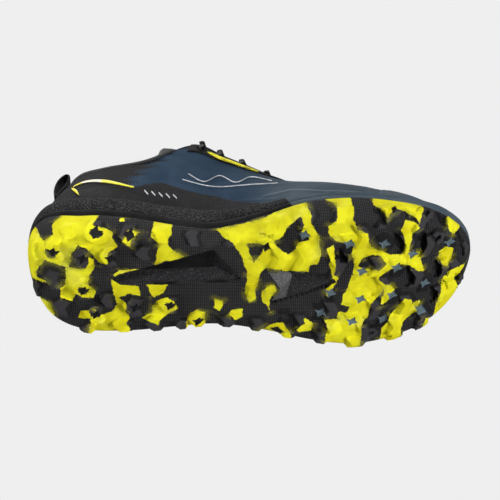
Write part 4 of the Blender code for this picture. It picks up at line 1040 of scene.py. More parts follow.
def build_knit():
    around, rows = 720, 110
    t = np.arange(around) / around
    u = np.linspace(0, 1, rows + 1)
    tt, uu = np.meshgrid(t, u, indexing="ij")
    inner = off_wall(tt, uu, np.full(tt.shape, -UPPER_SKIN))
    station = np.minimum(tt, 1 - tt) * COUNT
    ridge = flow_ridges(tt, uu) * smooth_step(station, 3.3, 3.6)
    outer = off_wall(tt, uu, ridge)
    loops = np.concatenate([outer, inner[:, ::-1]], 1)
    faces = grid_faces(*loops.shape[:2], wrap_rows=True, wrap_cols=True).reshape(around, -1, 4)
    station = np.minimum(t, 1 - t) * COUNT
    closed = station < CLOSED_VAMP + 1e-6
    keep = np.ones(faces.shape[:2], bool)
    keep[closed & np.roll(closed, -1), rows] = False
    ring_length = np.concatenate([[0], np.cumsum(np.linalg.norm(np.diff(wall(t, 0.4), axis=0), axis=1))])
    rise = np.concatenate([np.zeros((around, 1)),
                           np.cumsum(np.linalg.norm(np.diff(outer, axis=1), axis=2), axis=1)], 1)
    film = np.stack([np.broadcast_to(ring_length[:, None], tt.shape), rise, np.zeros(tt.shape)], -1)
    behind = smooth_step(np.minimum(tt, 1 - tt) * COUNT, 7.0, 7.7)
    fade = np.minimum(fade_line(outer), (0.935 - uu) * 90 + 40 * (1 - behind))
    attributes = {"film_mm": np.concatenate([film, film[:, ::-1]], 1).reshape(-1, 3),
                  "fade_mm": np.concatenate([fade, fade[:, ::-1]], 1).ravel(),
                  "ridge_mm": np.concatenate([ridge, 0 * ridge], 1).ravel()}
    piece = add_mesh("knit_upper", loops.reshape(-1, 3), faces[keep].tolist(), attributes, sharp=70)
    piece.data.materials.append(knit_finish())
    return piece


def rim_u(t):
    x = wall(t, 0.1)[..., 0]
    return height_on_wall(t, RIM(x) - 0.6)


def mudguard_line(x):
    return np.interp(x, [0, 40, 71, 88, 106, 124, 138, 155, 172], [57, 56, 57, 66, 60.7, 56.9, 48, 39.5, 31])


MUDGUARD_TOP = softened(mudguard_line, 11)


def mudguard_u(t):
    return np.maximum(height_on_wall(t, MUDGUARD_TOP(wall(t, 0.3)[..., 0])), rim_u(t) + 0.03)


def eyestay_low(t):
    return np.interp(np.minimum(t, 1 - t) * COUNT, [5.2, 6.0, 7.0, 8.0], [0.83, 0.77, 0.76, 0.80])


def eyelet_places(side):
    stations = np.linspace(5.5, 7.75, 5)
    t = (stations if side < 0 else COUNT - stations) / COUNT
    return [(a, 0.5 * (b + 1.0) - 0.02) for a, b in zip(t, eyestay_low(t))]


def drill(pieces, side):
    """Cuts the lace holes of one side."""
    shape = bmesh.new()
    for t, u in eyelet_places(side):
        turn = Vector(wall_normal(t, u)).to_track_quat("Z", "Y").to_matrix().to_4x4()
        turn.translation = Vector(to_world(wall(t, u)))
        bmesh.ops.create_cone(shape, cap_ends=True, segments=28, radius1=0.0025, radius2=0.0025, depth=0.012, matrix=turn)
    mesh = bpy.data.meshes.new("drill")
    shape.to_mesh(mesh)
    shape.free()
    cutter = bpy.data.objects.new("drill", mesh)
    bpy.context.scene.collection.objects.link(cutter)
    for piece in pieces:
        cut = piece.modifiers.new("Holes", "BOOLEAN")
        cut.operation, cut.solver, cut.object = "DIFFERENCE", "EXACT", cutter
        finished(piece)
    bpy.data.objects.remove(cutter, do_unlink=True)


RIDGES = [  # stations, heights on the wall, width, height in mm
    ([0.2, 1.5, 3.27, 4.58, 5.38, 5.90, 6.3], [0.16, 0.17, 0.183, 0.208, 0.275, 0.242, 0.18], 0.017, 0.8),
    ([0.2, 2.0, 3.0, 4.15, 4.83, 5.05], [0.07, 0.08, 0.09, 0.117, 0.158, 0.092], 0.014, 0.7),
    ([5.4, 6.0, 6.5, 7.2], [0.17, 0.19, 0.195, 0.15], 0.012, 0.6),
    ([0.3, 2.0, 3.5, 4.5, 5.3, 6.1], [0.26, 0.29, 0.34, 0.385, 0.46, 0.40], 0.022, 0.6),
    ([0.4, 2.0, 3.5, 4.6, 5.4], [0.40, 0.44, 0.50, 0.56, 0.64], 0.020, 0.45),
    ([6.15, 6.25, 6.45, 6.6], [0.22, 0.27, 0.36, 0.44], 0.018, -0.6),
]


def flow_ridges(t, u):
    """Flowing lines moulded into the toe film and the vamp, mm."""
    station = np.abs((t + 0.5) % 1.0 - 0.5) * COUNT
    ridge = np.zeros(np.broadcast(t, u).shape)
    for stations, levels, width, height in RIDGES:
        centre = np.interp(station, stations, levels)
        fade = smooth_step(station, stations[0] - 0.1, stations[0] + 0.5) * (
            1 - smooth_step(station, stations[-1] - 0.4, stations[-1]))
        ridge += height * fade * np.exp(-((u - centre) / width) ** 2)
    return ridge


def toe_relief(t, u, across):
    return flow_ridges(t, u) * smooth_step(across, 0.0, 0.05) * (1 - smooth_step(across, 0.92, 1.0))


def toe_film_top(t):
    """The u at which the wall runs back behind the toe film's rounded edge."""
    steps = np.linspace(0.2, 0.999, 161)
    line = wall(t[:, None], steps[None, :])
    ahead = line[..., 0] - (250 - 22 * (line[..., 1] / 50) ** 2)
    return np.array([np.interp(0, -row, steps) for row in np.minimum.accumulate(ahead, axis=1)])


def around_range(first, last, per_station=24):
    return np.linspace(first, last, int(round((last - first) * per_station)) + 1) / COUNT


def build_overlays():
    over = 0.5 + 1.1
    made = {}
    black = film_finish("mudguard_film", (0.006, 0.006, 0.007), (0.010, 0.010, 0.011), rough=0.6, specular=0.12)
    t = around_range(-3.5, 3.5, 40)
    top = np.maximum(toe_film_top(t), rim_u(t) + 0.04)
    thin = smooth_step(np.abs(t) * COUNT, 3.5, 2.6)
    toe = wall_sheet("toe_overlay_film", t, rim_u(t), top, 110, 0.25 + 1.0 * thin, 0.2 + 0.7 * thin, toe_relief,
                     sharp=60)
    toe.data.materials.append(film_finish("toe_film", (0.060, 0.082, 0.101), (0.084, 0.107, 0.127), rough=0.5,
                                          grain=0.3, weave=False))
    made["toe_overlay"] = toe
    for side, ends in (("medial", (5.55, 12.0)), ("lateral", (12.0, 18.45))):
        t = around_range(*ends)
        piece = wall_sheet(side + "_mudguard_film", t, rim_u(t), mudguard_u(t), 12, over - 0.3, 1.1)
        piece.data.materials.append(black)
        made[side + "_mudguard"] = piece
    t = around_range(8.62, 15.38)
    station = np.minimum(t, 1 - t) * COUNT
    top = np.interp(station, [8.62, 9.4], [0.80, 0.975])
    thin = smooth_step(station, 8.62, 9.2)
    heel = wall_sheet("heel_textile", t, mudguard_u(t) - 0.01, top, 26, 0.12 + 1.0 * thin, 0.08 + 0.8 * thin, soft=0.2)
    heel.data.materials.append(knit_finish("heel_cloth", (0.026, 0.025, 0.026)))
    made["heel_panel"] = heel
    for side, ends in (("medial", (5.30, 8.05)), ("lateral", (COUNT - 8.05, COUNT - 5.30))):
        t = around_range(*ends)
        station = np.minimum(t, 1 - t) * COUNT
        low = eyestay_low(t) + 0.05 * smooth_step(-station, -5.6, -5.3)
        piece = wall_sheet(side + "_eyestay_film", t, low, 0.992, 14, over - 0.4, 1.1)
        piece.data.materials.append(black)
        made[side + "_eyestay"] = piece
    return made


def stripe_finish():
    """Printed stripe: cream at the heel, then yellow."""
    f = Finish("heel_stripe_print", rough=0.45, specular=0.35)
    place = f.place()
    xyz = f.split(f.attribute("rest_mm", "Vector"))
    cream = f.math("MULTIPLY", f.step(xyz[0], 35, 36), f.step(xyz[0], 50, 48))
    yellow = f.mix(f.step(f.noise(place, 0.2, 3.0), 0.3, 0.7), (0.72, 0.62, 0.015), (0.82, 0.74, 0.03))
    colour = f.mix(cream, yellow, (0.74, 0.68, 0.52))
    return f.done(colour, f.bump(f.noise(place, 1.2, 4.0), 0.15, 0.5))


def yellow_print():
    f = Finish("yellow_trim", rough=0.5, specular=0.3)
    place = f.place()
    colour = f.mix(f.step(f.noise(place, 0.3, 3.0), 0.3, 0.7), (0.66, 0.58, 0.015), (0.80, 0.74, 0.03))
    return f.done(colour, f.bump(f.noise(place, 2.0, 3.0), 0.15, 0.5))


def stripe_line(x):
    return np.interp(x, [27, 30, 33, 36, 40, 47, 54, 61, 72], [58.0, 61.8, 64.9, 65.9, 65.1, 62.8, 60.7, 58.4, 55.4])


STRIPE_HEIGHT = softened(stripe_line, 8)


def build_stripes():
    """The line round the heel: a hooked tip, a cream stretch, then yellow down to the mudguard."""
    made = {}
    finish = stripe_finish()
    for side, label in ((-1, "medial"), (1, "lateral")):
        stations = np.linspace(8.95, 10.50, 60)
        t = stations / COUNT if side < 0 else (COUNT - stations[::-1]) / COUNT
        x = wall(t, 0.45)[:, 0]
        middle = height_on_wall(t, STRIPE_HEIGHT(x))
        half = 0.009 + 0.021 * smooth_step(x, 71, 50) * smooth_step(x, 27, 37)
        body = wall_sheet(label + "_stripe_print", t, middle - half, middle + half, 3, 2.3, 0.5)
        body.data.materials.append(finish)
        hook = raised_mark(label + "_stripe_hook", side, [(10.50, 60.0, 0.4), (10.40, 57.0, 1.3), (10.28, 53.0, 1.4),
                                                         (10.17, 48.0, 0.3)], finish, offset=2.4)
        hook.parent = body
        made[label] = body
    return made


def build_piping():
    made = {}
    finish = yellow_print()
    for side in (-1, 1):
        line = smooth_path([(6.2, 0.71), (6.5, 0.75), (6.8, 0.785), (7.15, 0.805), (7.5, 0.82)], 0.02)
        t = (line[:, 0] if side < 0 else COUNT - line[:, 0]) / COUNT
        route = off_wall(t, line[:, 1], np.full(len(t), 2.0))
        label = ("medial" if side < 0 else "lateral")
        radius = np.interp(np.linspace(0, 1, len(t)), [0, 0.1, 0.7, 0.9, 1], [0.4, 0.75, 1.15, 1.0, 0.3])
        piece = tube(label + "_piping", route, radius, sides=12)
        piece.data.materials.append(finish)
        made[label] = piece
    return made


def raised_mark(name, side, outline, material, offset=1.0, thickness=0.5):
    """A small printed figure: a strip that follows a path of (station, z, half width in mm)."""
    fine = smooth_path(np.array(outline, float), 0.02)
    if side > 0:
        fine = fine[::-1]
    t = (fine[:, 0] if side < 0 else COUNT - fine[:, 0]) / COUNT
    middle = height_on_wall(t, fine[:, 1])
    scale = np.linalg.norm(wall(t, np.minimum(middle + 0.02, 1)) - wall(t, middle - 0.02), axis=1) / 0.04
    across = fine[:, 2] / scale
    piece = wall_sheet(name, t, middle - across, middle + across, 4, offset, thickness)
    piece.data.materials.append(material)
    return piece


def build_marks():
    """Generic pale ridge lines on the quarters and three slanted bars on the mudguards."""
    f = Finish("pale_print", rough=0.4, specular=0.4)
    place = f.place()
    pale = f.done(f.mix(f.step(f.noise(place, 0.5, 3.0), 0.3, 0.7), (0.50, 0.52, 0.54), (0.66, 0.67, 0.69)),
                  f.bump(f.noise(place, 2.0, 3.0), 0.1, 0.5))
    pieces = []
    for side, label in ((-1, "medial"), (1, "lateral")):
        peaks = [(5.85, 70.0, 0.35), (6.30, 78.0, 0.4), (6.62, 71.0, 0.4), (7.0, 81.0, 0.4), (7.35, 73.0, 0.4),
                 (7.8, 80.0, 0.35)]
        pieces.append(raised_mark(label + "_ridge_line", side, peaks, pale))
        under = [(5.7, 63.5, 0.3), (6.4, 66.0, 0.35), (7.1, 67.5, 0.35), (7.9, 72.5, 0.3)]
        pieces.append(raised_mark(label + "_under_line", side, under, pale))
        for k in range(5):
            base = 7.95 + 0.16 * k
            bar = [(base, 50.0, 0.6), (base + 0.10, 53.5, 0.6)]
            pieces.append(raised_mark(f"{label}_bar_{k}", side, bar, pale, offset=2.1))
    return pieces


def cloth_finish(name, colour_a, colour_b, pitch=1.2, depth=0.3, rough=0.92, sheen=0.3):
    f = Finish(name, rough=rough, specular=0.15, Sheen_Weight=sheen)
    place = f.place()
    xyz = f.split(place)
    diagonal = f.wave(f.math("ADD", xyz[0], xyz[2]), pitch)
    other = f.wave(f.math("SUBTRACT", xyz[1], xyz[2]), pitch)
    knit = f.math("MULTIPLY", diagonal, other)
    colour = f.mix(f.step(f.noise(place, 0.3, 4.0), 0.3, 0.7), colour_a, colour_b)
    colour = f.mix(f.math("MULTIPLY", f.step(knit, 0.3, 0.9), 0.4), colour, tuple(2.2 * c for c in colour_b))
    return f.done(colour, f.bump(knit, depth, 0.8))


def build_collar():
    """The padded collar: rolls over the top edge and runs down inside as a cushion."""
    t = around_range(8.45, 15.55, 30)
    station = np.minimum(t, 1 - t) * COUNT
    swell = smooth_step(station, 8.45, 9.3)
    share = 0.55 + 0.45 * swell
    profile = [(0.955, 0.55, 0), (0.972, 1.35, 0), (0.990, 1.7, 0.2), (1.0, 1.2, 1.2), (1.0, -0.8, 2.5), (1.0, -3.0, 2.9),
               (1.0, -5.2, 2.3), (0.992, -7.2, 1.0), (0.97, -8.8, 0), (0.93, -9.9, 0), (0.88, -10.5, 0),
               (0.82, -10.6, 0), (0.76, -10.0, 0), (0.70, -8.8, 0), (0.645, -7.0, 0), (0.60, -5.0, 0), (0.565, -3.0, 0),
               (0.555, -2.2, 0), (0.62, -2.15, 0), (0.75, -2.15, 0), (0.88, -2.15, 0), (0.955, -2.1, 0),
               (0.985, -1.0, 0), (0.975, 0.2, 0)]
    loops = []
    for u, offset, lift in profile:
        depth = np.where(offset < -2.2, -2.2 + (offset + 2.2) * share, offset)
        row = off_wall(t, np.full(t.shape, u), depth)
        row[:, 2] += lift
        loops.append(row)
    loops = np.stack(loops, 1)
    piece = tube_lattice("collar_padding", loops, sharp=None)
    smooth = piece.modifiers.new("Round", "SUBSURF")
    smooth.levels = smooth.render_levels = 1
    finished(piece)
    piece.data.materials.append(cloth_finish("collar_cloth", (0.010, 0.010, 0.011), (0.020, 0.020, 0.021)))
    return piece


# ---------------------------------------------------------------- tongue and lace
FOLD_STATION = 7.9


def tongue_line(station, lift=0.0):
    t = station / COUNT
    below = -TONGUE_DROP + lift
    inner = [off_wall(t, u, below) for u in (0.80, 0.90, 1.0)]
    outer = [off_wall(1 - t, u, below) for u in (0.80, 0.90, 1.0)]
    crown = 0.5 * (inner[-1] + outer[-1]) + np.array([0, 0, 0.6])
    width = abs(inner[-1][1] - outer[-1][1])
    if width < 6:
        return [*inner[:2], crown, *outer[1::-1]]
    quarter = 0.12 * width * np.array([0, 0, 0.35])
    return [*inner, 0.5 * (inner[-1] + crown) + quarter, crown + quarter,
            0.5 * (outer[-1] + crown) + quarter, *outer[::-1]]


def resampled(line, count):
    fine = smooth_path(line, 0.5)
    run = np.linspace(0, len(fine) - 1, count)
    return np.stack([np.interp(run, np.arange(len(fine)), fine[:, k]) for k in range(3)], 1)


def tongue_lines(count=33):
    """Cross-sections of the whole tongue, from its root to its free end, and how far along each is."""
    lines = [resampled(tongue_line(s), count) for s in np.linspace(5.0, FOLD_STATION, 44)]
    base = resampled(tongue_line(FOLD_STATION + 0.12), count)
    before = resampled(tongue_line(FOLD_STATION - 0.5), count)
    middle = base[count // 2]
    way = (middle - before[count // 2]) / np.linalg.norm(middle - before[count // 2])
    lines.append(base)
    for run in np.linspace(1.5, 23.5, 16):
        spread = np.interp(run, [0, 7, 14, 19, 22, 23.5], [1, 1.0, 0.97, 0.88, 0.72, 0.55])
        rise = np.interp(run, [0, 7, 14, 20, 23.5], [0, 0.6, 2.4, 5.0, 7.0])
        moved = middle + (base - middle) * np.array([1, spread, 1 - run * 0.012])
        lines.append(moved + way * run + np.array([0, 0, rise]))
    return np.array(lines)


def sheet_normals(lines):
    across = np.gradient(lines, axis=1)
    along = np.gradient(lines, axis=0)
    normal = np.cross(along, across)
    normal /= np.maximum(np.linalg.norm(normal, axis=-1, keepdims=True), 1e-9)
    return normal * np.sign(np.sum(normal[..., 2]))


def pad_from(name, lines, top, bottom, lobes=0.0):
    """A cushion between two distances from a sheet, drawn in along all its edges."""
    normal = sheet_normals(lines)
    rows, cols = lines.shape[:2]
    a = np.linspace(0, 1, rows)[:, None]
    b = np.linspace(0, 1, cols)[None, :]
    crown = (1 - (2 * b - 1) ** 6) * (1 - (2 * a - 1) ** 24)
    ribs = 1 - lobes * np.exp(-(((a * 9) % 1.0 - 0.5) / 0.12) ** 2) * (1 - (2 * b - 1) ** 4)
    crown = np.clip(crown, 0.0, 1)[..., None]
    up = lines + normal * (top * crown * ribs[..., None])
    down = lines + normal * (bottom * crown)
    loops = np.concatenate([up, down[:, ::-1]], 1)
    flat = np.stack([np.broadcast_to(a * 100, (rows, cols)), np.broadcast_to(b * 45, (rows, cols)),
                     np.zeros((rows, cols))], -1)
    return tube_lattice(name, loops, {"film_mm": np.concatenate([flat, flat[:, ::-1]], 1)}, sharp=None)


def build_tongue():
    lines = tongue_lines()
    pad = pad_from("tongue_pad", lines, 0.7, -4.6, lobes=0.5)
    pad.data.materials.append(cloth_finish("tongue_cloth", (0.010, 0.010, 0.011), (0.022, 0.022, 0.023), pitch=1.4))
    tip = lines[-15:-1, 4:-4]
    cap = pad_from("tongue_cap", tip + np.array([0, 0, 0.9]), 1.0, -0.5)
    gloss = film_finish("tongue_gloss", (0.010, 0.010, 0.011), (0.016, 0.016, 0.017), rough=0.3, grain=0.12,
                        specular=0.5, weave=False)
    cap.data.materials.append(gloss)
    return pad, cap


def lace_route():
    holes = {side: eyelet_places(side) for side in (-1, 1)}

    def at(side, row, u_shift, offset):
        t, u = holes[side][row]
        return off_wall(t, min(u + u_shift, 1.0), offset)

    tongue = np.concatenate([resampled(tongue_line(s), 41) for s in np.linspace(5.2, 7.9, 80)])

    def over_tongue(place, height):
        nearest = np.argmin(np.linalg.norm(tongue[:, :2] - place[:2], axis=1))
        return np.array([place[0], place[1], tongue[nearest, 2] + height])

    def crossing(row):
        return 0.25 * sum(at(side, level, 1.0, 0) for side in (-1, 1) for level in (row, row + 1))

    def end_inside(side):
        return [at(side, -1, 0, -0.6), at(side, -1, -0.03, -3.9), at(side, -1, -0.10, -3.9),
                at(side, -1, -0.17, -5.5), at(side, -1, -0.25, -9.0), at(side, -1, -0.34, -10.5)]

    def half(first_side):
        side = first_side
        points = []
        for row in range(5):
            points += [at(side, row, 0.045, 2.05), at(side, row, 0.0, 1.95)]
            if row == 4:
                return points + end_inside(side)
            points += [at(side, row, 0.0, -0.6), at(side, row, 0.012, -3.4),
                       at(side, row, 0.06, -3.6), at(side, row, 1.0, -3.4)]
            above = (side < 0) == (row % 2 == 0)
            points.append(over_tongue(0.5 * (points[-1] + crossing(row)), 2.0))
            points.append(over_tongue(crossing(row), 4.6 if above else 2.2))
            side = -side
            points += [at(side, row + 1, 1.0, 2.05), at(side, row + 1, 0.09, 2.05)]

    inner, outer = half(-1), half(1)
    bar = 0.5 * (inner[0] + outer[0]) + np.array([0, 0, 0.8])
    return outer[::-1] + [bar] + inner


def build_lace():
    route = smooth_path(lace_route(), 1.1)[4:-4]
    middle = np.stack([route[:, 0], route[:, 1] * 0.25, route[:, 2] - 28], 1)
    normals = route - middle
    for _ in range(6):
        normals = 0.25 * np.roll(normals, 1, 0) + 0.5 * normals + 0.25 * np.roll(normals, -1, 0)
    piece = tube("lace_cord", route, 2.0, sides=16, squash=0.34, normals=normals)
    f = Finish("lace_braid", rough=0.8, specular=0.25, Sheen_Weight=0.2)
    cord = f.split(f.attribute("cord_mm", "Vector"))
    one = f.wave(f.math("MULTIPLY_ADD", cord[1], 1.6, cord[0]), 1.7)
    two = f.wave(f.math("MULTIPLY_ADD", cord[1], -1.6, cord[0]), 1.7)
    braid = f.math("MAXIMUM", one, two)
    colour = f.mix(f.step(braid, 0.1, 0.9), (0.006, 0.006, 0.007), (0.030, 0.030, 0.032))
    piece.data.materials.append(f.done(colour, f.bump(braid, 0.4, 1.0)))
    return piece


# ---------------------------------------------------------------- heel loop
def webbing():
    f = Finish("webbing", rough=0.75, specular=0.25)
    film = f.split(f.attribute("film_mm", "Vector"))
    warp, weft = f.wave(film[1], 1.1), f.wave(film[0], 1.3)
    herring = f.math("MULTIPLY", warp, weft)
    colour = f.mix(f.step(herring, -0.2, 0.8), (0.006, 0.006, 0.007), (0.022, 0.022, 0.024))
    return f.done(colour, f.bump(herring, 0.4, 0.9))


def stitches(name, path, normals, length=2.0, gap=0.9, thick=0.32):
    """A row of short raised threads along a path (mm)."""
    path, normals = np.asarray(path, float), np.asarray(normals, float)
    run = np.concatenate([[0], np.cumsum(np.linalg.norm(np.diff(path, axis=0), axis=1))])
    points, faces = [], []
    profile = [(-0.5, 0.35), (-0.3, 0.95), (0.0, 1.1), (0.3, 0.95), (0.5, 0.35)]
    start = 0.3
    while start + length < run[-1]:
        middle = start + length / 2

        def sample(values, at):
            return np.array([np.interp(at, run, values[:, k]) for k in range(3)])

        way = sample(path, middle + 0.3) - sample(path, middle - 0.3)
        way /= np.linalg.norm(way)
        up = sample(normals, middle)
        up = up - way * np.dot(up, way)
        up /= np.linalg.norm(up)
        side = np.cross(way, up)
        first = len(points)
        for share, size in profile:
            centre = sample(path, middle + share * length) + up * thick * (size - 0.75)
            for angle in np.arange(6) / 6 * math.tau:
                points.append(centre + (side * math.cos(angle) + up * math.sin(angle)) * thick * size)
        faces += (grid_faces(5, 6, wrap_cols=True) + first).tolist()
        faces += [list(range(first, first + 6))[::-1], list(range(first + 24, first + 30))]
        start += length + gap
    return add_mesh(name, np.array(points), faces, weld=False)


def build_heel_loop():
    outline = [(14.2, 88.3), (13.4, 93), (13.6, 99), (15.2, 105.5), (18.3, 110.8), (20.7, 112.1),
               (22.2, 109.8), (21.5, 104.5), (19.8, 99), (17.7, 94), (15.7, 88.3)]
    line = smooth_path([(x, 0.0, z) for x, z in outline], 1.2)
    along = np.gradient(line, axis=0)
    along /= np.linalg.norm(along, axis=1, keepdims=True)
    normal = np.stack([along[:, 2], np.zeros(len(line)), -along[:, 0]], 1)
    half, thick = 6.0, 0.65
    across = [(-1, 0), (-0.97, 0.75), (-0.88, 1), (-0.5, 1), (0, 1), (0.5, 1), (0.88, 1), (0.97, 0.75), (1, 0),
              (0.97, -0.75), (0.88, -1), (0.5, -1), (0, -1), (-0.5, -1), (-0.88, -1), (-0.97, -0.75)]
    loops = np.stack([line + np.array([0, w * half, 0]) + normal * h * thick for w, h in across], 1)
    run = np.concatenate([[0], np.cumsum(np.linalg.norm(np.diff(line, axis=0), axis=1))])
    film = np.stack([np.stack([run, np.full(len(run), w * half), np.zeros(len(run))], 1) for w, _ in across], 1)
    loop = tube_lattice("pull_loop", loops, {"film_mm": film}, sharp=50)
    finish = webbing()
    loop.data.materials.append(finish)
    t = around_range(11.80, 12.20, 60)
    patch = wall_sheet("loop_patch", t, 0.60, 0.762, 16, 0.5 + 1.1 + 0.35 + 0.8, 1.0)
    patch.data.materials.append(finish)
    corners = [(11.84, 0.615), (12.16, 0.615), (12.16, 0.72), (11.84, 0.72), (11.84, 0.615), (12.16, 0.72),
               (12.16, 0.615), (11.84, 0.72)]
    path, normals = [], []
    for (s0, u0), (s1, u1) in zip(corners, corners[1:]):
        share = np.linspace(0, 1, 12, endpoint=False)
        tt, uu = (s0 + (s1 - s0) * share) / COUNT, u0 + (u1 - u0) * share
        path.append(off_wall(tt, uu, np.full(12, 2.8)))
        normals.append(wall_normal(tt, uu))
    thread = stitches("loop_stitches", np.concatenate(path), np.concatenate(normals), length=1.6, gap=0.8, thick=0.28)
    f = Finish("dark_thread", rough=0.7, specular=0.3)
    place = f.place()
    thread.data.materials.append(f.done(f.mix(f.noise(place, 3.0), (0.03, 0.03, 0.032), (0.07, 0.07, 0.072)),
                                        f.bump(f.wave(f.split(place)[0], 0.5), 0.2, 0.5)))
    return loop, patch, thread


# ---------------------------------------------------------------- hidden pieces keep their CAD shape
def hidden_finish(name, colour_a, colour_b, grain):
    f = Finish(name, rough=0.8, specular=0.2)
    node = f.nodes.new("ShaderNodeTexCoord")
    place = node.outputs["Object"]
    colour = f.mix(f.step(f.noise(place, 200.0, 3.0), 0.35, 0.65), colour_a, colour_b)
    return f.done(colour, f.bump(f.noise(place, grain, 3.0), 0.2, 0.6))


def give(node, material):
    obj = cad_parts[node]
    obj.data.materials.clear()
    obj.data.materials.append(material)


# ---------------------------------------------------------------- room, light and camera
def build_room():
    world = bpy.data.worlds.new("studio")
    bpy.context.scene.world = world
    world.use_nodes = True
    nodes, links = world.node_tree.nodes, world.node_tree.links
    nodes.clear()
    path = nodes.new("ShaderNodeLightPath")
    mix = nodes.new("ShaderNodeMixShader")
    back, fill = nodes.new("ShaderNodeBackground"), nodes.new("ShaderNodeBackground")
    back.inputs["Color"].default_value = (0.863, 0.863, 0.863, 1)
    fill.inputs["Color"].default_value = (0.93, 0.96, 1.0, 1)
    fill.inputs["Strength"].default_value = 0.21
    output = nodes.new("ShaderNodeOutputWorld")
    links.new(path.outputs["Is Camera Ray"], mix.inputs[0])
    links.new(fill.outputs[0], mix.inputs[1])
    links.new(back.outputs[0], mix.inputs[2])
    links.new(mix.outputs[0], output.inputs[0])
    floor_mesh = bpy.data.meshes.new("floor")
    half = 3.0
    floor_mesh.from_pydata([(-half, -half, 0), (half, -half, 0), (half, half, 0), (-half, half, 0)], [], [(0, 1, 2, 3)])
    floor = bpy.data.objects.new("floor", floor_mesh)
    floor.location = (0, 0, -0.0006)
    bpy.context.scene.collection.objects.link(floor)
    # Pale from above and clear from below, so that a view of the sole looks past it.
    material = bpy.data.materials.new("floor_pale")
    material.use_nodes = True
    tree = material.node_tree
    shader = tree.nodes["Principled BSDF"]
    shader.inputs["Base Color"].default_value = (0.83, 0.83, 0.83, 1)
    shader.inputs["Roughness"].default_value = 0.9
    clear = tree.nodes.new("ShaderNodeBsdfTransparent")
    geometry = tree.nodes.new("ShaderNodeNewGeometry")
    either = tree.nodes.new("ShaderNodeMixShader")
    tree.links.new(geometry.outputs["Backfacing"], either.inputs[0])
    tree.links.new(shader.outputs[0], either.inputs[1])
    tree.links.new(clear.outputs[0], either.inputs[2])
    tree.links.new(either.outputs[0], tree.nodes["Material Output"].inputs["Surface"])
    floor_mesh.materials.append(material)
    floor.visible_diffuse = floor.visible_glossy = floor.visible_shadow = False


def lamp(name, place, power, size, target=(0, 0, 0.04), spread=180):
    light = bpy.data.lights.new(name, "AREA")
    light.spread = math.radians(spread)
    light.energy, light.shape, light.size = power, "DISK", size
    made = bpy.data.objects.new(name, light)
    made.location = place
    made.rotation_euler = (Vector(target) - Vector(place)).to_track_quat("-Z", "Y").to_euler()
    bpy.context.scene.collection.objects.link(made)


def build_lights_and_camera():
    lamp("heel_end", (-1.15, -0.80, -0.50), 0.42, 0.40, target=(-0.16, -0.01, 0.05), spread=24)
    lamp("toe_end", (1.10, -0.38, -0.88), 17.5, 0.24)
    lamp("under_fill", (0.0, -0.5, -1.4), 1.5, 0.9)
    lamp("side_soft", (-0.1, -1.3, 0.45), 6.0, 0.7)
    lamp("top_soft", (-0.3, -0.4, 1.3), 9.0, 0.8)
    lamp("back_soft", (0.3, 1.2, 0.6), 5.0, 0.9)
    data = bpy.data.cameras.new("camera")
    data.lens, data.sensor_width = 130.6, 36.0
    data.shift_y = 0.014
    data.clip_start, data.clip_end = 0.05, 20
    camera = bpy.data.objects.new("camera", data)
    target = Vector((0, 0, 0.03))
    back = Vector((0, -math.cos(math.radians(-50)), math.sin(math.radians(-50))))
    camera.location = target + back * 1.2
    camera.rotation_euler = (target - camera.location).to_track_quat("-Z", "Y").to_euler()
    bpy.context.scene.collection.objects.link(camera)
    bpy.context.scene.camera = camera
    bpy.context.scene.view_settings.view_transform = "Standard"


def bends(piece, slot, *nodes):
    """A piece that runs through the flex line: hides the CAD nodes it stands for and bakes its placement into its mesh.
    """
    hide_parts(*nodes)
    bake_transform(piece)


def rides(piece, body, slot, *nodes):
    if nodes:
        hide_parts(*nodes)
    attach(piece, body)


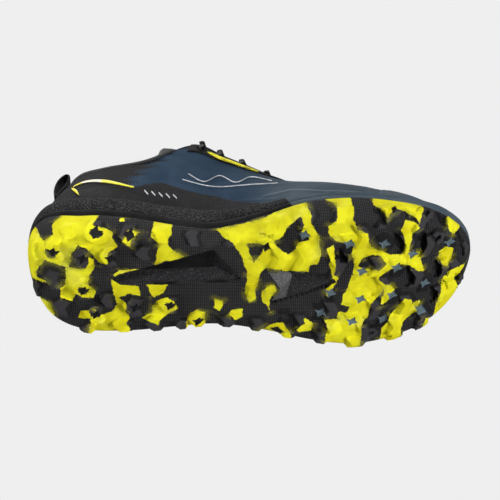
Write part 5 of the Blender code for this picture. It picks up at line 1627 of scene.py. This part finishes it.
def main():
    build_room()
    build_lights_and_camera()
    bends(build_outsole(), "outsole_rubber", "outsole_rear", "outsole_forefoot")
    lower, upper = build_midsoles()
    bends(lower, "lower_foam", "midsole_lower_rear", "midsole_lower_forefoot")
    bends(upper, "upper_foam", "midsole_upper_rear", "midsole_upper_forefoot")
    for piece in build_window_foam():
        bends(piece, "lower_foam")
    bends(build_sockliner(), "sockliner", "sockliner_rear", "sockliner_forefoot")
    knit = build_knit()
    overlays = build_overlays()
    for side, label in ((-1, "medial"), (1, "lateral")):
        drill([knit, overlays[label + "_eyestay"]], side)
    bends(knit, "knit_upper", "upper_quarters", "vamp_flex_zone", "vamp_toe_box")
    bends(overlays["toe_overlay"], "toe_film", "toe_overlay")
    for label in ("medial", "lateral"):
        bends(overlays[label + "_mudguard"], "black_film", label + "_mudguard")
        rides(overlays[label + "_eyestay"], "rearfoot", "black_film", label + "_eyestay")
    rides(overlays["heel_panel"], "rearfoot", "black_textile", "heel_panel")
    for label, piece in build_stripes().items():
        rides(piece, "rearfoot", "yellow_trim", label + "_heel_stripe")
    for label, piece in build_piping().items():
        rides(piece, "rearfoot", "yellow_trim", label + "_eyestay_piping")
    for piece in build_marks():
        rides(piece, "rearfoot", "yellow_trim")
    collar = build_collar()
    rides(collar, "rearfoot", "lining", "collar_foam", "collar_lining")
    tongue, cap = build_tongue()
    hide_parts("tongue_body", "tongue_foam")
    fold = tongue_line(FOLD_STATION + 0.02)
    middle = 0.5 * (np.array(fold[0]) + np.array(fold[-1]))
    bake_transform(tongue)
    rides(cap, "tongue_tip", "black_film", "tongue_top")
    rides(build_lace(), "rearfoot", "lace_cord", "lace")
    loop, patch, thread = build_heel_loop()
    rides(loop, "pull_tab", "webbing", "heel_pull_tab")
    rides(patch, "rearfoot", "webbing", "heel_tab_anchor")
    rides(thread, "rearfoot", "webbing")
    stiff = hidden_finish("stiffener_sheet", (0.20, 0.20, 0.21), (0.28, 0.28, 0.29), 900.0)
    board = hidden_finish("board_fibre", (0.50, 0.48, 0.42), (0.62, 0.60, 0.54), 1500.0)
    aglet = hidden_finish("aglet_plastic", (0.010, 0.010, 0.011), (0.02, 0.02, 0.021), 300.0)
    for node in ("heel_counter", "toe_puff"):
        give(node, stiff)
    for node in ("strobel_board_rear", "strobel_board_forefoot"):
        give(node, board)
    for node in ("medial_lace_aglet", "lateral_lace_aglet"):
        give(node, aglet)


main()
